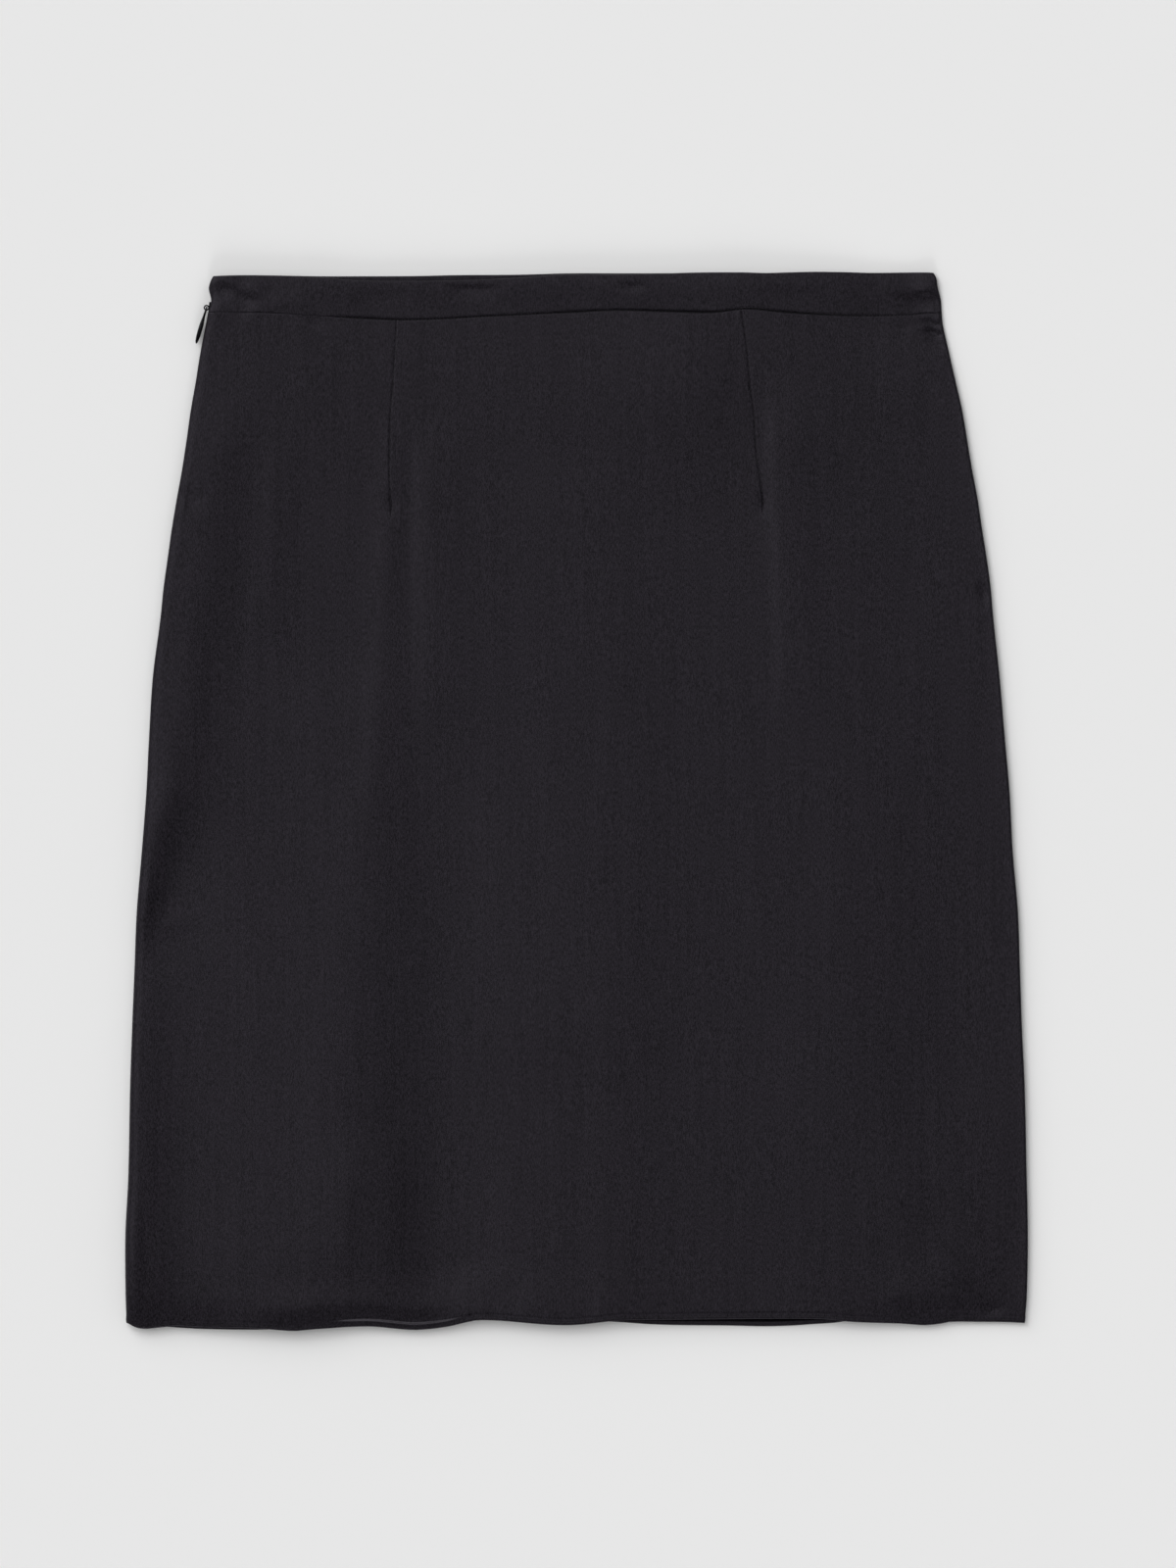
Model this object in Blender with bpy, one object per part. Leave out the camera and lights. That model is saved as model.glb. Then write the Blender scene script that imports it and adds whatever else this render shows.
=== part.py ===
# A straight skirt in black satin, laid flat with its front up.
# X runs across the skirt, Y from the hem to the waist, Z up from the surface that it lies on.
# The origin is under the middle of the skirt, on that surface. Sizes are in millimetres.

import math

import bmesh
import bpy
from mathutils import Matrix, Vector

MM = 0.001

# Driving sizes
CLOTH = 1.2             # wall of one layer of cloth
BAND_WALL = 1.3         # wall of the folded waistband
SEAM_GAP = 0.3          # between two pieces that are sewn together
HEM_Y = -266.0          # the hem's middle height
WAIST_SEAM_Y = 249.4    # where the band is sewn on
BAND_TOP_Y = 269.6      # the middle height of the band's folded top edge
HEM_DEPTH = 2.8         # the narrow turned hem
HEM_RAISE = 0.35        # the hem's extra thickness
ROLL = 3.0              # how far in the side edges round over
EDGE_HEIGHT = 3.9       # the two layers at a side edge
ZIP_BULK = 0.5          # what the zip adds to the left edge
SLIDER_BULK = 2.1       # what the slider adds to it
SEAM_LEVEL = 0.5        # the side seams run at this share of the edge's height
BODY_HEIGHT = 4.4       # the front cloth above the surface, halfway down
WAIST_HEIGHT = 3.6      # the same at the waistband
SETTLE = 18.0           # the width over which the cloth rises from its side edges
WAIST_REACH = 72.0      # and the length over which it settles to the waist seam
ZIP_FADE = 20.0         # the zip's bulk runs out over this length below it
ZIP_TOP_FADE = 7.0      # and over this length at the band's top edge
SLIDER_FADE = 9.0       # the slider's bulk runs out over this length at each end

# The side edges, seen from above
SIDE_EDGES = (
    # y, left x, right x
    (-267.5, -226.6, 226.8),
    (-264.0, -229.0, 228.4),
    (-251.0, -229.8, 229.0),
    (-221.0, -230.0, 230.0),
    (-146.0, -228.0, 228.6),
    (-86.0, -225.0, 226.0),
    (-26.0, -221.6, 222.4),
    (34.0, -218.0, 218.4),
    (79.0, -214.0, 214.6),
    (109.0, -211.0, 211.0),
    (139.0, -206.4, 206.6),
    (169.0, -201.2, 201.4),
    (199.0, -196.6, 196.4),
    (229.0, -191.6, 190.2),
    (242.0, -188.7, 187.0),
    (249.5, -187.2, 186.4),
    (257.0, -186.4, 185.7),
    (263.0, -186.4, 184.2),
    (267.0, -186.0, 183.2),
    (269.8, -184.8, 181.6),
)

# The waist seam wanders up and down by a few millimetres
WAIST_SEAM = (
    # x, y
    (-190.0, 249.6),
    (-160.0, 249.3),
    (-128.0, 247.4),
    (-92.0, 246.0),
    (-55.0, 247.2),
    (-20.0, 249.0),
    (18.0, 250.6),
    (60.0, 249.6),
    (87.0, 251.4),
    (110.0, 249.4),
    (145.0, 247.8),
    (172.0, 248.6),
    (190.0, 248.4),
)

# The folded top edges of the band's two halves: the back one shows past the front one on the left
BAND_TOP = (
    # x, front y, back y
    (-186.0, 267.6, 267.6),
    (-130.0, 267.4, 268.1),
    (-110.0, 266.3, 268.1),
    (-60.0, 265.9, 268.4),
    (-20.0, 267.4, 269.2),
    (0.0, 269.0, 269.5),
    (60.0, 269.9, 269.7),
    (120.0, 269.5, 269.4),
    (178.0, 269.6, 269.6),
    (186.0, 269.2, 269.2),
)

# The front hem: its edge, its height above the surface, and the roll of cloth just above it
FRONT_HEM = (
    # x, y, height, roll
    (-228.0, -266.6, 3.9, 0.0),
    (-220.0, -268.8, 4.0, 0.0),
    (-204.0, -267.4, 4.4, 0.0),
    (-166.0, -268.5, 5.0, 0.3),
    (-144.0, -269.9, 4.4, 1.0),
    (-119.0, -268.0, 4.4, 1.5),
    (-101.0, -267.7, 4.3, 1.6),
    (-83.0, -269.3, 4.2, 1.5),
    (-66.0, -268.0, 5.2, 0.6),
    (-48.0, -264.9, 6.0, 0.0),
    (-30.0, -265.5, 5.6, 0.0),
    (-7.0, -267.0, 4.6, 0.2),
    (18.0, -265.4, 5.7, 0.2),
    (56.0, -264.5, 5.2, 0.0),
    (96.0, -264.2, 4.8, 0.0),
    (126.0, -264.3, 5.4, 0.0),
    (150.0, -265.3, 4.8, 0.4),
    (179.0, -266.8, 4.0, 0.7),
    (191.0, -265.4, 4.5, 0.5),
    (211.0, -265.4, 4.1, 0.2),
    (228.0, -266.0, 3.9, 0.0),
)
HEM_REACH = 62.0        # how far up the skirt the hem's waves are felt
HEM_SHIFT_REACH = 70.0  # and how far the hem's edge pulls the rows of cloth with it
ROLL_UP = 15.0          # the hem's roll is this far above the edge
ROLL_WIDTH = 8.0

# The back hem lies on the surface and shows past the front in two places
BACK_HEM = (
    # x, y
    (-228.0, -266.0),
    (-204.0, -267.3),
    (-184.0, -268.9),
    (-152.0, -269.0),
    (-120.0, -267.0),
    (-84.0, -267.0),
    (-50.0, -264.2),
    (-10.0, -264.8),
    (30.0, -265.6),
    (60.0, -267.1),
    (95.0, -267.5),
    (114.0, -266.6),
    (134.0, -264.9),
    (190.0, -264.6),
    (228.0, -265.4),
)

# The darts: the seam's top and tip, and where its line of columns meets the hem
DARTS = (
    # top x, top y, tip x, tip y, hem x
    (-92.4, 246.0, -93.6, 151.5, -96.0),
    (87.0, 251.2, 95.0, 153.0, 101.0),
)
DART_DEPTH = 0.5
DART_LIP = 1.6          # half the width of the groove that a dart's seam draws
TIP_DIMPLE = 0.7
TIP_RADIUS = 5.0
TIP_FADE = 12.0         # the groove runs out over this length above the tip

# The largest folds of the front: soft ridges, and troughs where the height is negative
FOLDS = (
    # name, top x, top y, foot x, foot y, half width, height
    ("left edge roll", -182.0, 205.0, -206.0, 30.0, 11.0, 0.8),
    ("left hip ridge", -205.0, 40.0, -215.0, -60.0, 9.0, 0.7),
    ("below the left dart", -98.0, 185.0, -97.0, 40.0, 6.0, 0.6),
    ("beside the left dart", -73.0, 190.0, -74.0, 30.0, 9.0, 0.8),
    ("middle ridge", 2.0, 150.0, -14.0, -170.0, 34.0, 0.9),
    ("below the right dart", 102.0, 195.0, 114.0, 20.0, 8.0, 0.8),
    ("broad left swell", -118.0, 20.0, -122.0, -262.0, 28.0, 1.3),
    ("left trough", -76.0, -60.0, -82.0, -262.0, 16.0, -0.6),
    ("right middle ridge", 70.0, -70.0, 66.0, -255.0, 26.0, 0.7),
    ("lower right swell", 160.0, -40.0, 168.0, -250.0, 32.0, 0.9),
    ("lower left ridge", -176.0, -60.0, -184.0, -255.0, 22.0, 0.6),
)
FOLD_FADE = 55.0        # a fold dies away over this length at each end

# The waistband's own bumps
BAND_BUMPS = (
    # x, y, half width, half height, rise
    (-166.0, 259.0, 12.0, 5.0, 0.7),
    (-49.0, 262.0, 20.0, 4.0, -0.4),
    (26.0, 261.5, 9.0, 4.0, -0.3),
    (60.0, 257.0, 40.0, 6.0, 0.5),
    (172.0, 260.0, 14.0, 3.0, -0.5),
    (178.0, 254.0, 7.0, 4.0, 0.5),
)

# The zip's closed chain in the left seam
ZIP_TOP_Y = 262.0
ZIP_END_Y = 68.0
COIL_IN = 3.2           # from the skirt's edge to the coil
COIL_WIDTH = 1.8
COIL_HEIGHT = 1.3
COIL_CORNER = 0.4
TAPE_WIDTH = 7.0
TAPE_THICK = 0.5

# The slider and its ring
SLIDER_Y = 254.0
SLIDER_LENGTH = 9.0
SLIDER_IN = 2.3         # from the skirt's edge to the slider's body
SLIDER_WIDTH = 3.6
SLIDER_HEIGHT = 2.8
SLIDER_RIM = 0.6        # the slider's walls
SLIDER_CHAMFER = 0.35
BITE = 0.3              # how far shapes that are joined or cut reach into each other
NECK_THICK = 1.0
NECK_BELOW = 1.2        # the neck's reach along the seam, below and above the ring's middle
NECK_ABOVE = 3.0
SLIT_HALF = 0.85        # half the seam's opening where the neck comes out
SLIT_FLAT = 3.1         # the opening's reach either way along the seam
SLIT_FADE = 3.0         # and how soon it closes past that
RING_Y = 252.0
RING_OUT = 1.75         # from the skirt's edge to the ring's middle
RING_HOLE = 0.8         # radius
RING_OUTER = 1.5        # radius
RING_DEPTH = 1.4

# The pull tab, which hangs towards the hem and stands edge on as seen from above
TAB_LENGTH = 18.4       # from the hinge to the tip
TAB_THICK = 1.1
TAB_ANGLE = 16.3        # degrees out from the middle of the skirt
TAB_BAR = 0.5           # radius of the bar that turns in the ring
TAB_EYE_HALF = 1.1      # half the eye's width
TAB_EYE_END = 2.0       # from the hinge
TAB_HEAD_HALF = 1.8     # half the tab's width at the hinge
TAB_NECK_HALF = 1.35
TAB_NECK_AT = 4.6       # from the hinge
TAB_DROP_HALF = 2.2
TAB_DROP_AT = 13.2
TAB_TIP_POWER = 2.2     # how full the drop's end is

# How finely the cloth is divided
FRONT_ROWS = (
    # from y, to y, steps, last step over first
    (-262.9, 55.0, 21, 6.0),
    (55.0, 148.0, 6, 0.35),
    (148.0, 212.0, 6, 2.0),
    (212.0, WAIST_SEAM_Y - SEAM_GAP / 2, 7, 0.4),
)
BACK_ROWS = (
    # from y, to y, steps, last step over first
    (-262.9, 212.0, 17, 4.5),
    (212.0, WAIST_SEAM_Y - SEAM_GAP / 2, 7, 0.4),
)
BAND_ROWS = (0.0, 0.11, 0.24, 0.39, 0.54, 0.69, 0.82, 0.93, 1.0)
HEM_ROWS = (0.0, 0.25, 0.9)         # shares of the hem's depth
SIDE_STEPS = 11                     # from a side edge to its dart
SIDE_GROWTH = 4.5                   # the widest of those steps over the one at the edge
MIDDLE_STEPS = 16                   # between the darts
BACK_STEPS = 15
ROLL_ANGLES = (0.0, 32.0, 62.0)     # degrees, from the side seam to the top of the rounded edge
WAIST_SHIFT_REACH = 60.0            # how far the waist seam's wander is felt
EDGE_ROUND = 0.45                   # how much a cut or folded edge thins at its rim

SATIN = ("satin", (0.020, 0.0185, 0.022), 0.42, 0.0)
TAPE = ("zip_tape", (0.012, 0.012, 0.014), 0.8, 0.0)
LACQUER = ("black_lacquer", (0.012, 0.012, 0.013), 0.25, 0.9)


def smooth(t):
    t = min(1.0, max(0.0, t))
    return t * t * (3.0 - 2.0 * t)


def bell(t):
    return math.exp(-t * t)


def read(table, at, column):
    """A table's column at a place between its rows, on one smooth curve through them."""
    keys = [row[0] for row in table]
    values = [row[column] for row in table]
    at = min(keys[-1], max(keys[0], at))
    i = max(0, min(len(keys) - 2, sum(k <= at for k in keys) - 1))

    def slope(j):
        low, high = max(0, j - 1), min(len(keys) - 1, j + 1)
        return (values[high] - values[low]) / (keys[high] - keys[low])

    span = keys[i + 1] - keys[i]
    t = (at - keys[i]) / span
    start = (2 * t**3 - 3 * t**2 + 1) * values[i] + (t**3 - 2 * t**2 + t) * span * slope(i)
    end = (3 * t**2 - 2 * t**3) * values[i + 1] + (t**3 - t**2) * span * slope(i + 1)
    return start + end


def edge_x(y, side):
    return read(SIDE_EDGES, y, 1 if side < 0 else 2)


def near_slider(y, flat, fade):
    """1 beside the slider, falling to 0 over the fade past the flat stretch."""
    return 1.0 - smooth((abs(y - SLIDER_Y) - flat) / fade)


def edge_height(y, side):
    """The height of the two layers where they round over at a side."""
    height = EDGE_HEIGHT
    if side < 0:
        below, above = smooth((y - ZIP_END_Y) / ZIP_FADE + 1.0), smooth((BAND_TOP_Y - y) / ZIP_TOP_FADE)
        height += ZIP_BULK * below * above
        height += SLIDER_BULK * near_slider(y, SLIDER_LENGTH / 2, SLIDER_FADE)
    return height


def seam_level(y, side):
    return edge_height(y, side) * SEAM_LEVEL


def slit_half(y, side):
    """Half the gap between front and back at a side, which opens where the slider's neck comes out."""
    half = SEAM_GAP / 2
    if side < 0:
        neck_middle = RING_Y + (NECK_ABOVE - NECK_BELOW) / 2
        half += (SLIT_HALF - half) * near_slider(y + SLIDER_Y - neck_middle, SLIT_FLAT, SLIT_FADE)
    return half


def dart_x(dart, y):
    """Where a dart's line of columns stands: on its seam, then straight on from the tip to the hem."""
    top_x, top_y, tip_x, tip_y, hem_x = dart
    if y > tip_y:
        return tip_x + (top_x - tip_x) * (y - tip_y) / (top_y - tip_y)
    return tip_x + (hem_x - tip_x) * (tip_y - y) / (tip_y - HEM_Y)


def fold_height(x, y):
    total = 0.0
    for _, top_x, top_y, foot_x, foot_y, half_width, height in FOLDS:
        along = min(1.0, max(0.0, (top_y - y) / (top_y - foot_y)))
        middle = top_x + (foot_x - top_x) * along
        ends = smooth((top_y - y) / FOLD_FADE + 0.5)
        if foot_y > HEM_Y + FOLD_FADE:
            ends *= smooth((y - foot_y) / FOLD_FADE + 0.5)
        total += height * ends * bell((x - middle) / half_width)
    return total


def dart_height(x, y):
    total = 0.0
    for dart in DARTS:
        tip_x, tip_y = dart[2], dart[3]
        groove = max(0.0, 1.0 - abs(x - dart_x(dart, y)) / DART_LIP)
        total -= DART_DEPTH * groove * smooth((y - tip_y) / TIP_FADE)
        total -= TIP_DIMPLE * bell(math.hypot(x - tip_x, y - tip_y) / TIP_RADIUS)
    return total


def front_height(x, y):
    """The front cloth's upper face above the surface, away from the side edges."""
    below_waist = smooth((WAIST_SEAM_Y - y) / WAIST_REACH)
    height = WAIST_HEIGHT + (BODY_HEIGHT - WAIST_HEIGHT) * below_waist
    height += fold_height(x, y) * below_waist
    above_hem = y - HEM_Y
    at_hem = (1.0 - smooth(above_hem / HEM_REACH)) ** 1.5
    height += (read(FRONT_HEM, x, 2) - height) * at_hem
    height += read(FRONT_HEM, x, 3) * bell((above_hem - ROLL_UP) / ROLL_WIDTH)
    return height + dart_height(x, y)


def band_height(x, y):
    """The waistband's upper face above the surface."""
    height = WAIST_HEIGHT
    for bump_x, bump_y, half_width, half_height, rise in BAND_BUMPS:
        height += rise * bell((x - bump_x) / half_width) * bell((y - bump_y) / half_height)
    return height


def graded(start, stop, count, growth):
    """Places from start to stop, both among them. The last step is growth times the first."""
    steps = [1.0 + (growth - 1.0) * i / (count - 1) for i in range(count)]
    scale = (stop - start) / sum(steps)
    places = [start]
    for step in steps:
        places.append(places[-1] + step * scale)
    return places


def front_places(y):
    """The front's columns: close at the side edges, with three across each dart's line."""
    left, right = edge_x(y, -1) + ROLL, edge_x(y, 1) - ROLL
    first, second = dart_x(DARTS[0], y), dart_x(DARTS[1], y)
    places = graded(left, first - DART_LIP, SIDE_STEPS, SIDE_GROWTH)
    places += [first]
    places += graded(first + DART_LIP, second - DART_LIP, MIDDLE_STEPS, 1.0)
    places += [second]
    return places + graded(second + DART_LIP, right, SIDE_STEPS, 1.0 / SIDE_GROWTH)


def back_places(y):
    return graded(edge_x(y, -1) + ROLL, edge_x(y, 1) - ROLL, BACK_STEPS, 1.0)


def rolled(y, side, angle, wall, is_front):
    """A rounded side edge's outer and inner point at an angle from its seam, and how far they rose."""
    edge, top = edge_x(y, side), edge_height(y, side)
    half_gap = slit_half(y, side)
    level = seam_level(y, side) + (half_gap if is_front else -half_gap)
    outer_top, inner_top = (top, top - wall) if is_front else (0.0, wall)
    inward, rise = 1.0 - math.cos(math.radians(angle)), math.sin(math.radians(angle))
    outer = (edge - side * ROLL * inward, level + (outer_top - level) * rise)
    inner = (edge - side * (wall + (ROLL - wall) * inward), level + (inner_top - level) * rise)
    return outer, inner, rise


def section(y, wall, is_front, height_of):
    """A cut across one layer at y, from the left seam to the right: outer and inner points, as x and z.

    The third value of each is 0 at a side seam and 1 past the rounded edge.
    """
    places = front_places(y) if is_front else back_places(y)
    points = [rolled(y, -1, angle, wall, is_front) for angle in ROLL_ANGLES]
    for x in places:
        if is_front:
            side = -1 if x < dart_x(DARTS[0], y) else 1
            top = edge_height(y, side)
            rise = smooth((abs(x - edge_x(y, side)) - ROLL) / SETTLE)
            top += (height_of(x, y) - top) * rise
            points.append(((x, top), (x, top - wall), 1.0))
        else:
            points.append(((x, 0.0), (x, wall), 1.0))
    points += [rolled(y, 1, angle, wall, is_front) for angle in reversed(ROLL_ANGLES)]
    return points


def rim_lifts(thick, thin, is_front):
    """How far a row's outer and inner points move where the cloth is doubled, or thins to a rim."""
    return (thick - thin, thin) if is_front else (0.0, thick - thin)


def cloth(name, rows, material):
    """A closed wall from rows of outer and inner points."""
    shape = bmesh.new()
    outer = [[shape.verts.new(Vector(pair[0]) * MM) for pair in row] for row in rows]
    inner = [[shape.verts.new(Vector(pair[1]) * MM) for pair in row] for row in rows]
    last_row, last_column = len(rows) - 1, len(rows[0]) - 1
    for j in range(last_row):
        for i in range(last_column):
            shape.faces.new((outer[j][i], outer[j][i + 1], outer[j + 1][i + 1], outer[j + 1][i]))
            shape.faces.new((inner[j][i], inner[j + 1][i], inner[j + 1][i + 1], inner[j][i + 1]))
        for i in (0, last_column):
            shape.faces.new((outer[j][i], outer[j + 1][i], inner[j + 1][i], inner[j][i]))
    for j in (0, last_row):
        for i in range(last_column):
            shape.faces.new((outer[j][i], outer[j][i + 1], inner[j][i + 1], inner[j][i]))
    return finish(name, shape, material)


def finish(name, shape, material):
    """An object from a closed shape, with its faces turned out."""
    bmesh.ops.recalc_face_normals(shape, faces=shape.faces)
    mesh = bpy.data.meshes.new(name)
    shape.to_mesh(mesh)
    shape.free()
    made = bpy.data.objects.new(name, mesh)
    bpy.context.scene.collection.objects.link(made)
    mesh.materials.append(material)
    mesh.shade_smooth()
    mesh.set_sharp_from_angle(angle=math.radians(40))
    return made


def material_of(look):
    name, colour, roughness, metallic = look
    material = bpy.data.materials.new(name)
    material.use_nodes = True
    shader = material.node_tree.nodes["Principled BSDF"]
    shader.inputs["Base Color"].default_value = (*colour, 1.0)
    shader.inputs["Roughness"].default_value = roughness
    shader.inputs["Metallic"].default_value = metallic
    return material


def panel(name, is_front, material):
    """The front or the back of the skirt, from its hem to the waist seam."""
    hem = FRONT_HEM if is_front else BACK_HEM
    levels = [HEM_Y + share * HEM_DEPTH for share in HEM_ROWS]
    for start, stop, count, growth in FRONT_ROWS if is_front else BACK_ROWS:
        levels += [y for y in graded(start, stop, count, growth) if y > levels[-1]]
    rows = []
    for level in levels:
        above_hem = level - HEM_Y
        at_hem = 1.0 - smooth(above_hem / HEM_SHIFT_REACH)
        at_waist = smooth((level - WAIST_SEAM_Y) / WAIST_SHIFT_REACH + 1.0)
        thick = HEM_RAISE if above_hem < HEM_DEPTH else 0.0
        thin = EDGE_ROUND if level in (levels[0], levels[-1]) else 0.0
        row = []
        for outer, inner, rise in section(level, CLOTH, is_front, front_height):
            moved = []
            for (x, z), lift in zip((outer, inner), rim_lifts(thick, thin, is_front)):
                y = level + at_hem * (read(hem, x, 1) - HEM_Y)
                y += at_waist * (read(WAIST_SEAM, x, 1) - WAIST_SEAM_Y)
                moved.append((x, y, z + lift * rise))
            row.append(moved)
        rows.append(row)
    return cloth(name, rows, material)


def waistband(name, is_front, material):
    """Half of the folded band, from the waist seam to its top fold."""
    bottom = WAIST_SEAM_Y + SEAM_GAP / 2
    rows = []
    for share in BAND_ROWS:
        level = bottom + (BAND_TOP_Y - bottom) * share
        thin = EDGE_ROUND if share in (BAND_ROWS[0], BAND_ROWS[-1]) else 0.0
        row = []
        for outer, inner, rise in section(level, BAND_WALL, is_front, band_height):
            moved = []
            for (x, z), lift in zip((outer, inner), rim_lifts(0.0, thin, is_front)):
                y = level + (1.0 - share) * (read(WAIST_SEAM, x, 1) - WAIST_SEAM_Y)
                y += share * (read(BAND_TOP, x, 1 if is_front else 2) - BAND_TOP_Y)
                moved.append((x, y, z + lift * rise))
            row.append(moved)
        rows.append(row)
    return cloth(name, rows, material)


def zip_tape(material):
    """The closed chain with its tape, inside the left seam."""
    half_coil, half_tape = COIL_HEIGHT / 2, TAPE_THICK / 2
    coil_end = COIL_IN + COIL_WIDTH
    upper = (
        # in from the skirt's edge, above the seam's level
        (COIL_IN, half_coil - COIL_CORNER),
        (COIL_IN + COIL_CORNER, half_coil),
        (coil_end - COIL_CORNER, half_coil),
        (coil_end, half_tape),
        (coil_end + TAPE_WIDTH, half_tape),
    )
    outline = upper + tuple((x, -z) for x, z in reversed(upper))
    shape = bmesh.new()
    rings = []
    for y in graded(ZIP_TOP_Y, ZIP_END_Y, 20, 6.0):
        edge, level = edge_x(y, -1), seam_level(y, -1)
        rings.append([shape.verts.new(Vector((edge + x, y, level + z)) * MM) for x, z in outline])
    for high, low in zip(rings, rings[1:]):
        for i, near in enumerate(low):
            k = (i + 1) % len(low)
            shape.faces.new((near, low[k], high[k], high[i]))
    shape.faces.new(rings[0])
    shape.faces.new(rings[-1])
    return finish("zip_tape", shape, material)


def block(low, high):
    """A closed box between two corners."""
    shape = bmesh.new()
    middle = (Vector(low) + Vector(high)) / 2
    size = Vector(high) - Vector(low)
    bmesh.ops.create_cube(shape, size=1.0, matrix=Matrix.Translation(middle) @ Matrix.Diagonal((*size, 1.0)))
    return shape


def rod(middle, radius, length):
    """An upright closed cylinder about a point."""
    shape = bmesh.new()
    bmesh.ops.create_cone(
        shape,
        cap_ends=True,
        segments=24,
        radius1=radius,
        radius2=radius,
        depth=length,
        matrix=Matrix.Translation(middle),
    )
    return shape


def joined(target, frame, steps):
    """Adds shapes to an object or cuts them from it, in the object's own frame."""
    for name, shape, operation in steps:
        mesh = bpy.data.meshes.new(name)
        bmesh.ops.scale(shape, vec=(MM, MM, MM), verts=shape.verts)
        shape.to_mesh(mesh)
        shape.free()
        other = bpy.data.objects.new(name, mesh)
        bpy.context.scene.collection.objects.link(other)
        other.matrix_world = frame
        other.hide_render = True
        other.display_type = "WIRE"
        step = target.modifiers.new(name, "BOOLEAN")
        step.operation = operation
        step.solver = "EXACT"
        step.object = other


def ring_place():
    """The ring's middle, which is the pull tab's hinge."""
    return Vector((edge_x(RING_Y, -1) - RING_OUT, RING_Y, seam_level(SLIDER_Y, -1)))


def zip_slider(material):
    """A body that clasps the coil, a thin neck out through the seam, and the ring that holds the tab."""
    reach = SLIDER_LENGTH / 2
    lean = (edge_x(SLIDER_Y + reach, -1) - edge_x(SLIDER_Y - reach, -1)) / SLIDER_LENGTH
    middle = Vector((edge_x(SLIDER_Y, -1), SLIDER_Y, seam_level(SLIDER_Y, -1)))
    frame = Matrix.Translation(middle * MM) @ Matrix.Rotation(-math.atan(lean), 4, "Z")

    half, far = SLIDER_HEIGHT / 2, SLIDER_IN + SLIDER_WIDTH
    body = block((SLIDER_IN, -reach, -half), (far, reach, half))
    bmesh.ops.bevel(body, geom=body.edges[:], offset=SLIDER_CHAMFER, segments=2, profile=0.5, affect="EDGES")
    bmesh.ops.scale(body, vec=(MM, MM, MM), verts=body.verts)
    slider = finish("zip_slider", body, material)
    slider.matrix_world = frame

    channel_half, slot_half = COIL_HEIGHT / 2 + SEAM_GAP, TAPE_THICK / 2 + SEAM_GAP
    channel_end, past = far - SLIDER_RIM, reach + BITE
    ring_middle = frame.inverted() @ (ring_place() * MM) / MM
    neck_start = (ring_middle.x + RING_HOLE + BITE, ring_middle.y - NECK_BELOW, -NECK_THICK / 2)
    neck_end = (SLIDER_IN + BITE, ring_middle.y + NECK_ABOVE, NECK_THICK / 2)
    joined(
        slider,
        frame,
        (
            ("neck", block(neck_start, neck_end), "UNION"),
            ("ring", rod(ring_middle, RING_OUTER, RING_DEPTH), "UNION"),
            ("ring_hole", rod(ring_middle, RING_HOLE, RING_DEPTH + 2 * BITE), "DIFFERENCE"),
            (
                "coil_channel",
                block((COIL_IN - SEAM_GAP, -past, -channel_half), (channel_end, past, channel_half)),
                "DIFFERENCE",
            ),
            (
                "tape_slot",
                block((channel_end - BITE, -past, -slot_half), (far + BITE, past, slot_half)),
                "DIFFERENCE",
            ),
        ),
    )
    return slider


def tab_half_width(u):
    """Half the tab's width at a distance from its hinge: a narrow neck that swells into a drop."""
    if u < TAB_NECK_AT:
        along = smooth((u - TAB_EYE_END) / (TAB_NECK_AT - TAB_EYE_END))
        return TAB_HEAD_HALF + (TAB_NECK_HALF - TAB_HEAD_HALF) * along
    if u < TAB_DROP_AT:
        along = smooth((u - TAB_NECK_AT) / (TAB_DROP_AT - TAB_NECK_AT))
        return TAB_NECK_HALF + (TAB_DROP_HALF - TAB_NECK_HALF) * along
    share = (u - TAB_DROP_AT) / (TAB_LENGTH - TAB_DROP_AT)
    return TAB_DROP_HALF * (1.0 - share**TAB_TIP_POWER) ** (1.0 / TAB_TIP_POWER)


def zip_pull_tab(material):
    """The tab: two arms with a bar that turns in the ring, and a drop-shaped plate that hangs from them."""
    head = -TAB_BAR - BITE / 2
    places = [head] + graded(TAB_EYE_END, TAB_LENGTH, 15, 0.35)[:-1]
    side = [(u, tab_half_width(u)) for u in places]
    outline = side + [(TAB_LENGTH, 0.0)] + [(u, -half) for u, half in reversed(side)]
    shape = bmesh.new()
    plate = shape.faces.new([shape.verts.new((TAB_THICK / 2, -u, half)) for u, half in outline])
    pushed = bmesh.ops.extrude_face_region(shape, geom=[plate])
    moved = [v for v in pushed["geom"] if isinstance(v, bmesh.types.BMVert)]
    bmesh.ops.translate(shape, vec=(-TAB_THICK, 0.0, 0.0), verts=moved)
    bmesh.ops.scale(shape, vec=(MM, MM, MM), verts=shape.verts)
    tab = finish("zip_pull_tab", shape, material)
    frame = Matrix.Translation(ring_place() * MM) @ Matrix.Rotation(math.radians(-TAB_ANGLE), 4, "Z")
    tab.matrix_world = frame
    eye = block((-TAB_THICK, -TAB_EYE_END, -TAB_EYE_HALF), (TAB_THICK, BITE - head, TAB_EYE_HALF))
    bar = rod((0.0, 0.0, 0.0), TAB_BAR, TAB_EYE_HALF + TAB_HEAD_HALF)
    joined(tab, frame, (("tab_eye", eye, "DIFFERENCE"), ("tab_bar", bar, "UNION")))
    return tab


def main():
    for old in list(bpy.data.objects):
        bpy.data.objects.remove(old)
    satin, tape, lacquer = material_of(SATIN), material_of(TAPE), material_of(LACQUER)
    panel("front_panel", True, satin)
    panel("back_panel", False, satin)
    waistband("waistband_front", True, satin)
    waistband("waistband_back", False, satin)
    zip_tape(tape)
    zip_slider(lacquer)
    zip_pull_tab(lacquer)


main()
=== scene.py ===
import math

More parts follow.
